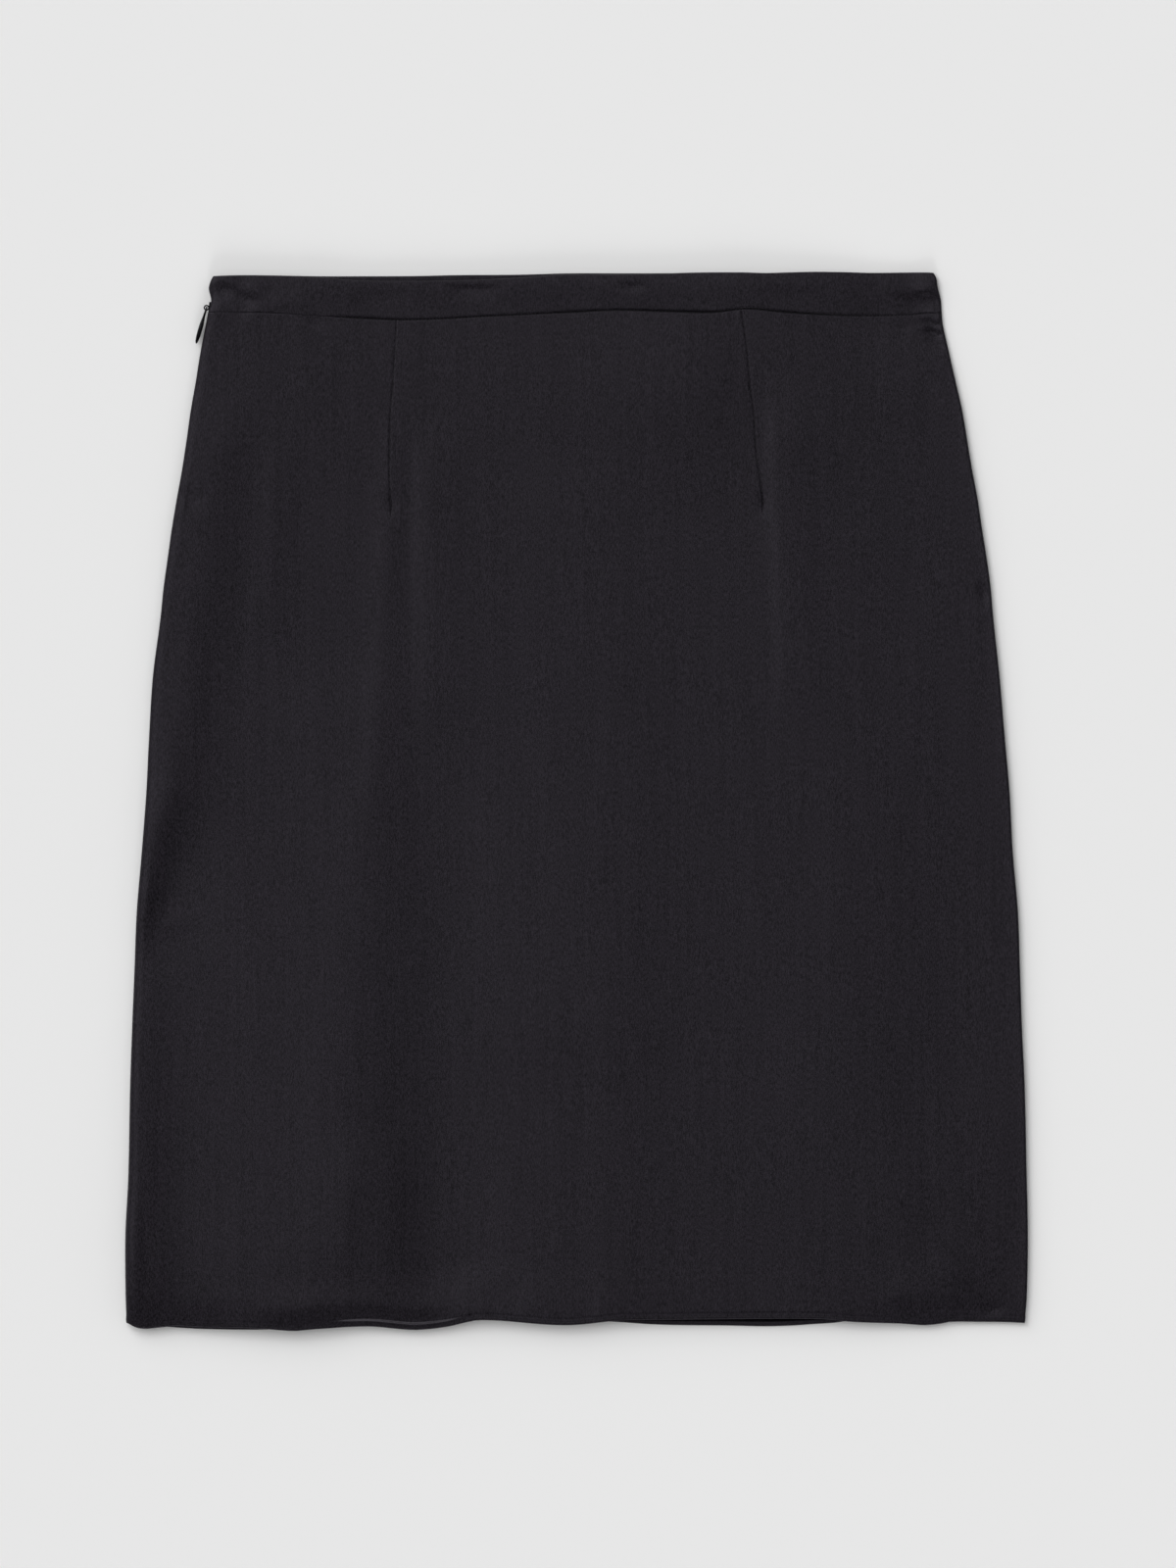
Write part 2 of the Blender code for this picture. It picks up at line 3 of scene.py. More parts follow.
import bmesh
import bpy
import numpy as np
from mathutils import Matrix, Vector


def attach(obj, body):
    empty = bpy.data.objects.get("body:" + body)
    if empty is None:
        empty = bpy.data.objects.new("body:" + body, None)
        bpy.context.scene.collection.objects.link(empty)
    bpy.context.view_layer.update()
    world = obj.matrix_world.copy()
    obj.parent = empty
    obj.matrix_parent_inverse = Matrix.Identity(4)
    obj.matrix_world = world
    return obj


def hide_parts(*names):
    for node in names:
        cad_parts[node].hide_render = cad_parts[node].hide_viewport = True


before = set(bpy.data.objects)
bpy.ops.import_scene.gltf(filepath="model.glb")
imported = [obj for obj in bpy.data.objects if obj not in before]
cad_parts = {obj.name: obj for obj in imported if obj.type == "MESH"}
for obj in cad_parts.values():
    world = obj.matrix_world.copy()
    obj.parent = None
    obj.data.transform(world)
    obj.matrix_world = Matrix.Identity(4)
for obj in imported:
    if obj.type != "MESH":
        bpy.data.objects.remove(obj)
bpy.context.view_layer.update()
mm = 0.001
print("skirt: frame loaded")

# The skirt lies with its front up: x across, y from the hem to the waist, z up. Sizes are in millimetres.
layout = {
    "hemY": -266.0,
    "waistY": 249.4,
    "bandTopY": 269.6,
    "bodyHeight": 3.9,  # the front's height above the floor, halfway down
    "waistHeight": 5.0,
    "bandHeight": 4.6,
    "waistReach": 110.0,  # how far below the waist the cloth settles to it
    "rollLeft": 4.4,  # how far in a side edge rounds over
    "rollRight": 1.2,
    "seamRidge": 0.27,  # the lift of the allowances beside the right edge, up to the y below
    "ridgeTopY": 228.0,
    "ridgeOver": 30.0,
    "ridgeIn": 2.2,
    "settleLeft": 80.0,  # how far in from a side the cloth takes its own height
    "settleRight": 90.0,
    "hemReach": 380.0,  # how far up the hem's height carries
    "hemCurve": 70.0,  # how far the hem's and the waist seam's curves carry into a panel
    "waistCurve": 60.0,
    "sliderBulge": 0.7,  # how much more the left edge stands up around the slider
    "bulgeY": 253.3,
    "bulgeReach": 9.0,
    "bulgeFrom": 5.0,  # how far in it starts to fade, and over what width
    "bulgeOver": 26.0,
    "slitY": 252.9,  # where the slider's neck comes out of the seam
    "slitReach": 3.1,  # half the length of that slit
    "slitOpen": 0.8,  # how far each side of it opens
    "slitOver": 3.0,
    "seamOpen": 0.04,
    "lip": 0.9,  # how far in the edge rounds on the seam's side
    "lipShare": 0.34,  # where the edge is widest, on the way from the seam to its top
    "allowance": (4.0, 2.4, 1.3),  # places in the turned-in allowance
    "clothThick": 0.32,
    "bandThick": 1.35,
    "layerShare": 0.42,  # most that one layer takes of the height, where the skirt is low
    "roomInside": 2.4,  # how much higher it is farther in
    "seamShare": 0.5,  # the side seams' height, as a share of the edge's
}
hemY, waistY, bandTopY = layout["hemY"], layout["waistY"], layout["bandTopY"]

sideEdges = [
    # y, left x, right x
    (-267.5, -228.6, 227.8),
    (-265.5, -229.6, 229),
    (-261, -229.6, 229.3),
    (-251, -229.9, 230),
    (-221, -230, 230.5),
    (-191, -228.5, 229.9),
    (-146, -227.6, 228.9),
    (-116, -226.6, 227.5),
    (-86, -225.4, 226.5),
    (-56, -224.2, 225.4),
    (-26, -221.7, 222.8),
    (4, -219.4, 221.2),
    (34, -217.9, 218.6),
    (64, -216, 216),
    (94, -212.1, 212.8),
    (109, -210.6, 211.5),
    (124, -208.5, 209.5),
    (139, -206.4, 207.1),
    (154, -203.9, 204.9),
    (169, -201.2, 202.1),
    (184, -198.9, 199.6),
    (199, -196.8, 197.1),
    (214, -194.2, 193.7),
    (229, -191.8, 190.3),
    (244, -188.9, 187),
    (249.5, -187.8, 186.5),
    (253, -186.7, 186.3),
    (256.5, -186.3, 186),
    (260, -187, 185.1),
    (263, -187.5, 184.4),
    (267, -186.5, 183.8),
    (269.6, -185.2, 182.3),
]

edgeHeights = [
    # y, left, right
    (-268, 2.6, 2.4),
    (-262, 3.8, 3),
    (-250, 5, 3.4),
    (-200, 5.6, 3.6),
    (-140, 5.5, 3.8),
    (-90, 5.2, 3.8),
    (-56, 4.8, 3.7),
    (0, 4.7, 3.6),
    (60, 4.5, 3.5),
    (120, 4.8, 3.3),
    (159, 5, 3.2),
    (200, 5.1, 3.1),
    (224, 5.2, 2.6),
    (240, 5.3, 2.1),
    (252, 5.3, 1.9),
    (260, 5.2, 2),
    (270, 5, 2),
]

waistSeam = [
    # x, y
    (-188, 249.5),
    (-156, 249.2),
    (-126.5, 247.4),
    (-92, 245.7),
    (-74, 245.9),
    (-42, 247.6),
    (1, 249.7),
    (20, 250.6),
    (50, 249.8),
    (71, 249.6),
    (87, 251.4),
    (106, 249.6),
    (126, 248.4),
    (151, 247.8),
    (171, 248.4),
    (178, 249.2),
    (188, 249.2),
]

bandTop = [
    # x, front y, back y
    (-186, 268.1, 268.1),
    (-174, 268.5, 268.4),
    (-160, 268.5, 268.6),
    (-130, 267.4, 268.1),
    (-112, 265.9, 268.1),
    (-84, 265.6, 268.2),
    (-60, 265.9, 268.7),
    (-30, 267.2, 268.9),
    (-4, 268.9, 269.6),
    (28, 268.9, 269.6),
    (60, 269.9, 269.7),
    (84, 270, 269.6),
    (97, 269.7, 269.4),
    (108, 270, 269.4),
    (120, 270.3, 269.5),
    (136, 270.2, 269.5),
    (150, 269.8, 269.5),
    (178, 270, 269.5),
    (186, 269.6, 269.3),
]

frontHem = [
    # x, edge y, height, drop towards the edge, drop of its last strip, swell above it
    (-229, -266, 2.4, 0, 0.3, 0),
    (-224, -268.4, 3, 0, 0.6, 0),
    (-219, -268.9, 4.6, 0, 0.5, 0),
    (-214, -268.4, 5.4, 0, 0.2, 0),
    (-204, -267.6, 6, 0, 0.2, 0),
    (-194, -268.1, 6.3, 0, 0.2, 0),
    (-166, -268.6, 6.6, 0, 0.15, 0.2),
    (-156, -269.2, 6.6, 0.2, 0.2, 0.4),
    (-144, -270, 6.7, 0.6, 0.2, 0.5),
    (-136, -269.3, 6.9, 0.9, 0.2, 0.6),
    (-124, -268.5, 7.2, 1.2, 0.35, 0.6),
    (-117, -268, 7.5, 1.4, 0.8, 0.6),
    (-104, -267.8, 7.8, 1.4, 1, 0.5),
    (-86, -269.4, 8, 1.2, 1.2, 0.3),
    (-79, -269.4, 8, 0.8, 1.25, 0.3),
    (-66, -267.9, 7.9, 0.3, 1.1, 0.1),
    (-57, -265.8, 7.8, 0, 0.5, 0),
    (-51, -264.6, 7.8, 0, 0.15, 0),
    (-44, -264.5, 7.8, 0, 0.15, 0),
    (-34, -265.1, 7.8, 0, 0.15, 0),
    (-21, -266.3, 7.6, 0.1, 0.15, 0),
    (-9, -267, 7.4, 0.1, 0.15, 0),
    (1, -266.8, 7.2, 0.1, 0.15, 0),
    (16, -265.2, 7.1, 0, 0.2, 0),
    (26, -264.5, 6.9, 0.1, 0.2, 0),
    (46, -264.3, 6.4, 0.1, 0.2, 0),
    (76, -264, 6.2, 0, 0.2, 0),
    (96, -263.8, 6.2, 0, 0.2, 0),
    (126, -264, 6.2, 0, 0.2, 0),
    (141, -265.4, 5.9, 0.1, 0.2, 0),
    (166, -266.3, 5.2, 0.1, 0.2, 0),
    (178, -267.1, 4.4, 0.2, 0.2, 0),
    (186, -266.3, 4, 0.2, 0.2, 0.1),
    (191, -265.4, 3.8, 0.2, 0.2, 0.1),
    (206, -265.4, 3.4, 0.1, 0.2, 0),
    (221, -265.6, 2.8, 0, 0.2, 0),
    (229, -266, 2.3, 0, 0.2, 0),
]

backHem = [
    # x, edge y
    (-229, -266),
    (-204, -268.4),
    (-184, -269.3),
    (-154, -269.3),
    (-120, -266.8),
    (-84, -267),
    (-50, -263.2),
    (-10, -264.2),
    (22, -265.6),
    (36, -266.6),
    (51, -267.1),
    (76, -267.3),
    (96, -267.7),
    (111, -267.3),
    (121, -266.6),
    (131, -266),
    (145, -264.4),
    (190, -264.6),
    (229, -265.4),
]

leftDart = [
    # y, x, depth of its line
    (148.5, -94.4, 1.3),
    (156.5, -94.85, 1.2),
    (158.5, -94.9, 0.5),
    (170.5, -95.25, 0.5),
    (172.5, -95.25, 0.8),
    (195, -94.85, 0.8),
    (197, -94.7, 0.35),
    (205, -94.1, 0.2),
    (206.5, -93.95, 0.8),
    (211, -93.6, 0.9),
    (213, -93.45, 0.2),
    (236, -92, 0.2),
    (250, -91.3, 0.4),
]

rightDart = [
    # y, x, depth of its line
    (150.3, 95.3, 1.6),
    (155, 95, 1.5),
    (160, 94.5, 0.9),
    (177.5, 92, 0.8),
    (197.5, 90.75, 0.7),
    (206, 89.7, 0.5),
    (211, 88.85, 0.8),
    (213.5, 88.6, 1.3),
    (216, 88.5, 0.6),
    (225, 87.85, 0.4),
    (245, 85.35, 0.5),
    (251.5, 84.2, 0.8),
]

darts = [
    # line, x where its columns meet the hem
    (leftDart, -96),
    (rightDart, 101),
]


def smooth(t):
    t = np.clip(t, 0.0, 1.0)
    return t * t * (3.0 - 2.0 * t)


def bell(t):
    return np.exp(-t * t)


def readTable(table, at, column):
    keys = np.array([row[0] for row in table], float)
    values = np.array([row[column] for row in table], float)
    slopes = np.empty_like(values)
    slopes[1:-1] = (values[2:] - values[:-2]) / (keys[2:] - keys[:-2])
    slopes[0] = (values[1] - values[0]) / (keys[1] - keys[0])
    slopes[-1] = (values[-1] - values[-2]) / (keys[-1] - keys[-2])
    at = np.clip(at, keys[0], keys[-1])
    i = np.clip(np.searchsorted(keys, at, side="right") - 1, 0, len(keys) - 2)
    span = keys[i + 1] - keys[i]
    t = (at - keys[i]) / span
    start = (2 * t**3 - 3 * t**2 + 1) * values[i] + (t**3 - 2 * t**2 + t) * span * slopes[i]
    end = (3 * t**2 - 2 * t**3) * values[i + 1] + (t**3 - t**2) * span * slopes[i + 1]
    return start + end


def gradedPlaces(length, nearStep, farStep, widest, growth=1.22):
    # places from 0 to length, close at both ends
    near, far = [], []
    a, b = nearStep, farStep
    while a < widest:
        near.append(a)
        a *= growth
    while b < widest:
        far.append(b)
        b *= growth
    rest = max(1, round((length - sum(near) - sum(far)) / widest))
    steps = np.array(near + [widest] * rest + far[::-1])
    places = np.concatenate([[0.0], np.cumsum(steps)])
    return places * length / places[-1]


def dartX(dart, y):
    line, hemX = dart
    tipY, tipX = line[0][:2]
    below = tipX + (hemX - tipX) * (tipY - y) / (tipY - hemY)
    return np.where(y > tipY, readTable(line, y, 1), below)


# Long soft ridges and troughs that run down the front
frontFolds = [
    # top x, top y, foot x, foot y, bow, width to the left, to the right, spread at the foot, rise, at the foot
    (-184, 196, -216, -20, 2, 34, 17, 1.1, 1, 1.7),
    (-208, 20, -225, -66, 0, 9, 13, 0.6, 0.3, 2.9),
    (-226, -70, -229, -262, 0, 8, 19, 0.9, 0.8, 3.3),
    (-95, 190, -106, -10, 1.5, 5, 8, 1.6, 0.4, 0.35),
    (-78, 178, -74, 40, 0, 4.5, 19, 1.3, 0.8, 0.4),
    (-154, 176, -160, 84, 0, 6, 13, 1.2, 0.4, 0.3),
    (-110, 60, -144, -262, 0, 105, 31, 1.15, 0.5, 2.6),
    (-66, 60, -70, -262, 0, 25, 44, 1.2, -0.2, -2.4),
    (8, 165, 14, -130, 0, 46, 30, 1.2, 0.6, 0.6),
    (102, 198, 109, 50, 0, 5, 19, 1.4, 1, 0.4),
    (125, 90, 155, -235, 0, 30, 40, 1.3, 0.15, 0.1),
    (38, 246, 48, 160, 0, 70, 34, 0.7, 0.4, 0.4),
]

# Short creases, dents and puckers of the front
frontCreases = [
    # x, y at its lower or left end, x, y at the other, width to its left, to its right, rise
    (-219, -69, -196, -60, 8, 2.5, 0.22),
    (-197, 150, -198, 158, 2.5, 7, -0.3),
    (209.5, 103, 206.5, 110, 1.8, 1.8, -0.7),
    (-131, 241, -135.5, 247, 1.4, 1.6, -0.4),
    (177, 246, 186.5, 242.6, 1.1, 1.2, -0.9),
    (178, 241, 186.5, 237.8, 1.4, 1.6, -1.3),
    (178, 236.5, 188, 232.5, 1.4, 1.8, -0.5),
    (172, 214, 168, 240, 36, 18, 0.3),
    (63, 200, 60, 246, 50, 20, 0.6),
    (164, 243, 176, 241.5, 2, 1.6, -0.2),
    (-38, -249.4, -32, -249.2, 5, 20, -0.32),
    (-56, -262, -56.5, -243, 5, 14, 0.18),
    (-123, -252, -114, -175, 18, 7, 0.5),
    (-93, -256, -97, -175, 20, 12, 0.75),
    (158, -252.5, 180, -251, 9, 5, 0.4),
    (180, -255, 197, -238, 18, 16, 0.9),
    (181, -243, 163, -190, 24, 26, 0.6),
    (202, -238, 210, -150, 40, 20, 0.4),
    (208, -260, 217, -258, 3, 3, -0.5),
    (-219.5, -262, -219, -208, 4, 3, -0.3),
]

# Creases of the band, and the wide ones run on into the front
bandCreases = [
    # x, y at its lower or left end, x, y at the other, width to its left, to its right, rise
    (-180.4, 265.6, -175.3, 263.8, 10, 2.9, 0.45),
    (-181.2, 262, -176.1, 260.2, 2.9, 11, -0.9),
    (-169.6, 261.8, -164.4, 258.3, 9, 2.7, 0.4),
    (-171.4, 258.4, -166, 254.9, 2.7, 11, -1),
    (-154, 254, -138, 255, 5, 4, 0.2),
    (-64, 262, -40, 261.6, 1.4, 4.5, -0.45),
    (24, 263.3, 33, 262.7, 1.6, 3, -0.5),
    (177, 260.8, 190, 261.1, 20, 2.7, 1.2),
    (170, 257.3, 180.5, 257.5, 2.6, 12, -0.5),
    (160, 261.1, 177, 260.8, 20, 2.8, 0.3),
    (175, 250.5, 175.8, 256, 0.7, 0.8, -0.15),
    (178.2, 250, 177.6, 256, 0.6, 0.8, -0.15),
    (180.8, 250, 180.4, 256, 0.6, 0.8, -0.12),
    (96, 260, 124, 258.5, 2.4, 5, -0.2),
    (-112, 257, -86, 259.5, 2.4, 5, -0.12),
]

# How the folds die out near the hem and the waist
folding = {
    "ridgesPast": 50.0,  # how far beyond the hem the ridges would end
    "ridgesOver": 96.0,
    "hollowShare": 0.55,  # what is left of a hollow at the hem
    "hollowsFrom": 4.0,
    "hollowsOver": 30.0,
    "waistOver": 45.0,
    "fade": 44.0,  # the length of a fold over which it rises at each end
    "creaseEnds": 0.3,  # the share of a crease
}


def foldRise(x, y, folds):
    total, fade = np.zeros_like(x), folding["fade"]
    for topX, topY, footX, footY, bow, left, right, spread, topRise, footRise in folds:
        along = np.clip((topY - y) / (topY - footY), 0.0, 1.0)
        across = x - topX - (footX - topX) * along - bow * 4.0 * along * (1.0 - along)
        width = np.where(across < 0.0, left, right) * (1.0 + (spread - 1.0) * along)
        ends = smooth((topY - y) / fade + 0.5)
        if footY > hemY + fade:
            ends = ends * smooth((y - footY) / fade + 0.5)
        total += (topRise + (footRise - topRise) * along) * ends * bell(across / width)
    return total


def creaseRise(x, y, creases):
    total = np.zeros_like(x)
    for x0, y0, x1, y1, leftWidth, rightWidth, rise in creases:
        length = math.hypot(x1 - x0, y1 - y0)
        ux, uy = (x1 - x0) / length, (y1 - y0) / length
        along = ((x - x0) * ux + (y - y0) * uy) / length
        across = (x - x0) * uy - (y - y0) * ux  # to the right of the line, looking from its first end
        reach = math.sqrt(leftWidth * rightWidth) / length
        over = folding["creaseEnds"] + reach
        ends = smooth((along + reach) / over) * smooth((1.0 + reach - along) / over)
        total += rise * ends * bell(across / np.where(across < 0, leftWidth, rightWidth))
    return total


ripples = {
    # seed, shortest wave, longest wave, height
    "hem": (5, 3.5, 11.0, 0.09),
    "waist": (8, 4.0, 15.0, 0.08),
    "band": (13, 24.0, 90.0, 0.12),
    "bandFoot": (17, 4.0, 14.0, 0.07),
    "backHem": (21, 3.5, 11.0, 0.4),
}


def ripple(x, kind, count=5):
    # an uneven wave along x, the sum of a few even ones
    seed, shortest, longest, height = ripples[kind]
    random = np.random.RandomState(seed)
    total = np.zeros_like(x)
    for _ in range(count):
        wave = shortest * (longest / shortest) ** random.rand()
        total += np.sin(x * 2.0 * math.pi / wave + random.rand() * 2.0 * math.pi)
    return height * (total / math.sqrt(count))


seams = {
    "dartGroove": 0.5,  # depth where its mark is 1
    "dartLip": 0.42,  # half width
    "dartStep": 0.06,  # the intake pressed to one side under the cloth
    "dartStepTip": 0.35,  # what of it is left at the tip
    "dartStepEdge": 2.0,
    "dartStepWidth": 10.0,
    "dartFade": 2.5,  # how far below its tip a dart's line ends
    "tipDimple": 0.35,
    "tipRadius": 3.4,
    "tipAbove": 3.0,  # how far above the tip its dimple is
    "tipSquash": 0.6,
    "backGroove": 0.35,  # depth of the darts' lines on the back
    "backGrooveFrom": 12.0,
    "backGrooveOver": 14.0,
    "ditchDepth": 0.5,  # of the waist seam, on the skirt's side
    "ditchWidth": 0.3,
    "backDitch": 0.4,
    "backBandShare": 0.6,
    "bandRoll": 1.5,  # width and drop of the band's lower edge
    "bandDrop": 0.75,
    "leastDrop": 0.1,  # the drop's share at a shallow seam, and its growth with depth
    "dropGrowth": 1.25,
    "bandCrown": 0.6,  # rise of the band's middle
    "crownAbove": 5.0,
    "crownReach": 11.0,
    "hemTurn": 2.8,
    "hemRaise": 0.06,
    "hemThick": 0.35,  # how much thicker the turned hem is
    "backHemThick": 0.7,
    "hemRadius": 0.55,
    "hemStep": 0.7,  # over what height the turned hem ends
    "hemSwellAt": 12.0,
    "hemSwellReach": 8.0,
    "hemFallFrom": 2.5,  # how far up the drop towards the edge is full, and over what it fades
    "hemFallOver": 9.5,
    "stripTop": 4.3,  # of the last strip, its steep upper step and its long lower one
    "stripStep": 2.0,
    "stripFoot": 2.1,
    "stripFootShare": 0.3,
    "puckerFrom": 2.0,  # the stitched hem draws the cloth into puckers this far up
    "puckerOver": 9.0,
    "backPucker": 0.06,
    "waistPuckerOver": 14.0,
    "bandPuckerOver": 8.0,
}

waistMarks = [
    # x, depth of the waist seam there
    (-188, 0.5),
    (-165, 0.45),
    (-156, 0.2),
    (-148, 0),
    (-132, 0),
    (-124, 0.25),
    (-115, 0.6),
    (-92, 0.6),
    (-84, 0.35),
    (-50, 0.3),
    (-40, 0.45),
    (-12, 0.5),
    (0, 0.8),
    (18, 0.75),
    (28, 0.6),
    (44, 0.65),
    (56, 1.1),
    (118, 1.1),
    (132, 0.85),
    (148, 0.6),
    (156, 0.3),
    (166, 0.2),
    (176, 0.45),
    (186, 0.6),
]


def between(table, at, column):
    # straight from row to row, where readTable rounds
    return np.interp(at, [row[0] for row in table], [row[column] for row in table])


def dartRise(x, y):
    total = np.zeros_like(x)
    for dart in darts:
        line, hemX = dart
        tipY, tipX = line[0][:2]
        above = np.clip((y - tipY) / seams["dartFade"] + 1.0, 0.0, 1.0)
        offset = dartX(dart, y) - x
        intake = np.clip((y - tipY) / (waistY - tipY), 0.0, 1.0)
        width = seams["dartStepEdge"] + seams["dartStepWidth"] * intake
        step = smooth(offset / seams["dartStepEdge"]) * (1.0 - smooth(offset / width))
        share = seams["dartStepTip"] + (1.0 - seams["dartStepTip"]) * intake
        total += seams["dartStep"] * share * above * step
        total -= seams["dartGroove"] * above * between(line, y, 2) * bell(offset / seams["dartLip"])
        fromTip = np.hypot(x - tipX, (y - tipY - seams["tipAbove"]) * seams["tipSquash"])
        total -= seams["tipDimple"] * bell(fromTip / seams["tipRadius"])
    return total


def hemPuckers(aboveHem):
    return 1.0 - smooth((aboveHem - seams["puckerFrom"]) / seams["puckerOver"])


def frontHeight(x, y):
    belowWaist = smooth((waistY - y) / layout["waistReach"])
    height = layout["waistHeight"] + (layout["bodyHeight"] - layout["waistHeight"]) * belowWaist
    aboveHem = y - readTable(frontHem, x, 1)
    atHem = 1.0 - smooth(aboveHem / layout["hemReach"])
    height = height + (readTable(frontHem, x, 2) - height) * atHem
    swell = bell((aboveHem - seams["hemSwellAt"]) / seams["hemSwellReach"])
    height = height + readTable(frontHem, x, 5) * swell
    fall = 1.0 - smooth((aboveHem - seams["hemFallFrom"]) / seams["hemFallOver"])
    height = height - readTable(frontHem, x, 3) * fall
    # where its last strip falls, it does so in two steps, the upper one steeper
    foot = np.clip(1.0 - aboveHem / seams["stripFoot"], 0.0, 1.0)
    strip = smooth((seams["stripTop"] - aboveHem) / seams["stripStep"]) + seams["stripFootShare"] * foot
    height = height - readTable(frontHem, x, 4) * strip
    height = height + ripple(x, "hem") * hemPuckers(aboveHem)
    belowSeam = readTable(waistSeam, x, 1) - y
    return height + ripple(x, "waist") * (1.0 - smooth(belowSeam / seams["waistPuckerOver"]))


def bandRelief(x, y):
    return creaseRise(x, y, bandCreases)


def frontRelief(x, y):
    # a fold dies out near the waist, and near the hem, a hollow closer to it than a ridge
    aboveHem = y - readTable(frontHem, x, 1)
    folds = foldRise(x, y, frontFolds)
    ridges, hollows = np.maximum(folds, 0.0), np.minimum(folds, 0.0)
    share = folding["hollowShare"]
    left = share + (1.0 - share) * smooth((aboveHem - folding["hollowsFrom"]) / folding["hollowsOver"])
    folds = ridges * smooth((aboveHem + folding["ridgesPast"]) / folding["ridgesOver"]) + hollows * left
    folds = folds * smooth((waistY - y) / folding["waistOver"])
    return folds + dartRise(x, y) + creaseRise(x, y, frontCreases) + bandRelief(x, y)


def rimRounding(inward, radius):
    # how far a rounded rim falls back, by the distance in from it
    edge = np.clip(1.0 - inward / radius, 0.0, 1.0)
    return radius * (1.0 - np.sqrt(1.0 - edge**2 * 0.98))


def hemProfile(aboveHem):
    # how much a turned hem adds outside and inside, and how it rounds at its edge
    turned = 1.0 - smooth((aboveHem - seams["hemTurn"]) / seams["hemStep"] + 0.5)
    return turned, rimRounding(aboveHem, seams["hemRadius"])


def ditch(distance, x):
    # the narrow valley of the waist seam, deeper where its stitches pull
    return seams["ditchDepth"] * between(waistMarks, x, 1) * bell(distance / seams["ditchWidth"])


def edgeBulge(y, side):
    return layout["sliderBulge"] * bell((y - layout["bulgeY"]) / layout["bulgeReach"]) * (side < 0)


def sideRoll(side):
    return layout["rollLeft" if side < 0 else "rollRight"]


def seamRidge(y):
    return layout["seamRidge"] * smooth((layout["ridgeTopY"] - y) / layout["ridgeOver"])


def edgeTop(y, side):
    # the top of a side edge, with the folds and creases that reach it
    x = readTable(sideEdges, y, 1 if side < 0 else 2) - side * sideRoll(side)
    relief = np.where(y > waistY, bandRelief(x, y), frontRelief(x, y))
    ridge = seamRidge(y) * (side > 0)
    return readTable(edgeHeights, y, 1 if side < 0 else 2) + edgeBulge(y, side) + ridge + relief


def slitHalf(y):
    # the side seam opens where the slider's neck comes out
    away = np.abs(y - layout["slitY"]) - layout["slitReach"]
    return layout["seamOpen"] + layout["slitOpen"] * (1.0 - smooth(away / layout["slitOver"]))


lipAngles = [-90, -60, -30, 0, 16, 32, 47, 61, 75]  # from the seam over the rounded edge


def sideColumns(y, side, thick, isFront):
    # the turned-in allowance and the rounded edge: x and z of outer and inner points
    edge = readTable(sideEdges, y, 1 if side < 0 else 2)
    top = edgeTop(y, side)
    far = top if isFront else 0.0 * top
    up = 1.0 if isFront else -1.0
    half = slitHalf(y) if side < 0 else layout["seamOpen"] + 0.0 * y
    thick = np.minimum(thick, layout["layerShare"] * top)
    seam = top * layout["seamShare"] + up * half
    middle = seam + layout["lipShare"] * (far - seam)
    columns = []
    for inset in layout["allowance"]:
        x = edge - side * inset
        columns.append(((x, seam), (x, seam + up * thick)))
    for angle in lipAngles:
        c, s = math.cos(math.radians(angle)), math.sin(math.radians(angle))
        reach, rise = (layout["lip"], middle - seam) if angle < 0 else (sideRoll(side), far - middle)
        outer = (edge - side * reach * (1 - c), middle + rise * s)
        inner = (edge - side * (thick + (reach - thick) * (1 - c)), middle + (rise - up * thick) * s)
        columns.append((outer, inner))
    return columns if side < 0 else columns[::-1]


def layerGrid(levels, fractions, thick, isFront, shiftOf, heightOf, reliefOf):
    # outer and inner points of a layer of cloth, in rows from the hem to the waist
    inLeft = readTable(sideEdges, levels, 1) + sideRoll(-1)
    inRight = readTable(sideEdges, levels, 2) - sideRoll(1)
    knots = [inLeft, dartX(darts[0], levels), dartX(darts[1], levels), inRight]
    columns = sideColumns(levels, -1, thick, isFront)
    for part, start, end in zip(fractions, knots, knots[1:]):
        columns += [((start + (end - start) * share, None),) * 2 for share in part]
    columns += sideColumns(levels, 1, thick, isFront)
    outer, inner = np.zeros((2, len(levels), len(columns), 3))
    for i, column in enumerate(columns):
        for grid, (x, z) in zip((outer, inner), column):
            y = levels + shiftOf(x, levels)
            if z is None:
                atEdge = readTable(edgeHeights, levels, 1 if x[0] < 0 else 2)
                rise = smooth((x - inLeft) / layout["settleLeft"])
                rise = rise * smooth((inRight - x) / layout["settleRight"])
                if isFront:
                    past = np.minimum(x - inLeft, inRight - x) - layout["bulgeFrom"]
                    z = atEdge + (heightOf(x, y) - atEdge) * rise
                    z = z + edgeBulge(levels, x[0]) * (1.0 - smooth(past / layout["bulgeOver"]))
                    z = z + seamRidge(levels) * np.exp((x - inRight) / layout["ridgeIn"])
                    z = z + reliefOf(x, y)
                else:
                    z = heightOf(x, y) * rise
                if grid is inner:
                    deep = np.minimum(thick, layout["layerShare"] * (atEdge + layout["roomInside"] * rise))
                    z = z - deep if isFront else z + deep
            grid[:, i, 0], grid[:, i, 1], grid[:, i, 2] = x, y, z
    return outer, inner


def newObject(name, data):
    made = bpy.data.objects.new(name, data)
    bpy.context.scene.collection.objects.link(made)
    return made


def meshObject(name, shape, material, body, smoothAngle=None):
    bmesh.ops.recalc_face_normals(shape, faces=shape.faces)
    mesh = bpy.data.meshes.new(name)
    shape.to_mesh(mesh)
    shape.free()
    mesh.shade_smooth()
    if smoothAngle:
        mesh.set_sharp_from_angle(angle=math.radians(smoothAngle))
    mesh.materials.append(material)
    made = newObject(name, mesh)
    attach(made, body)
    return made


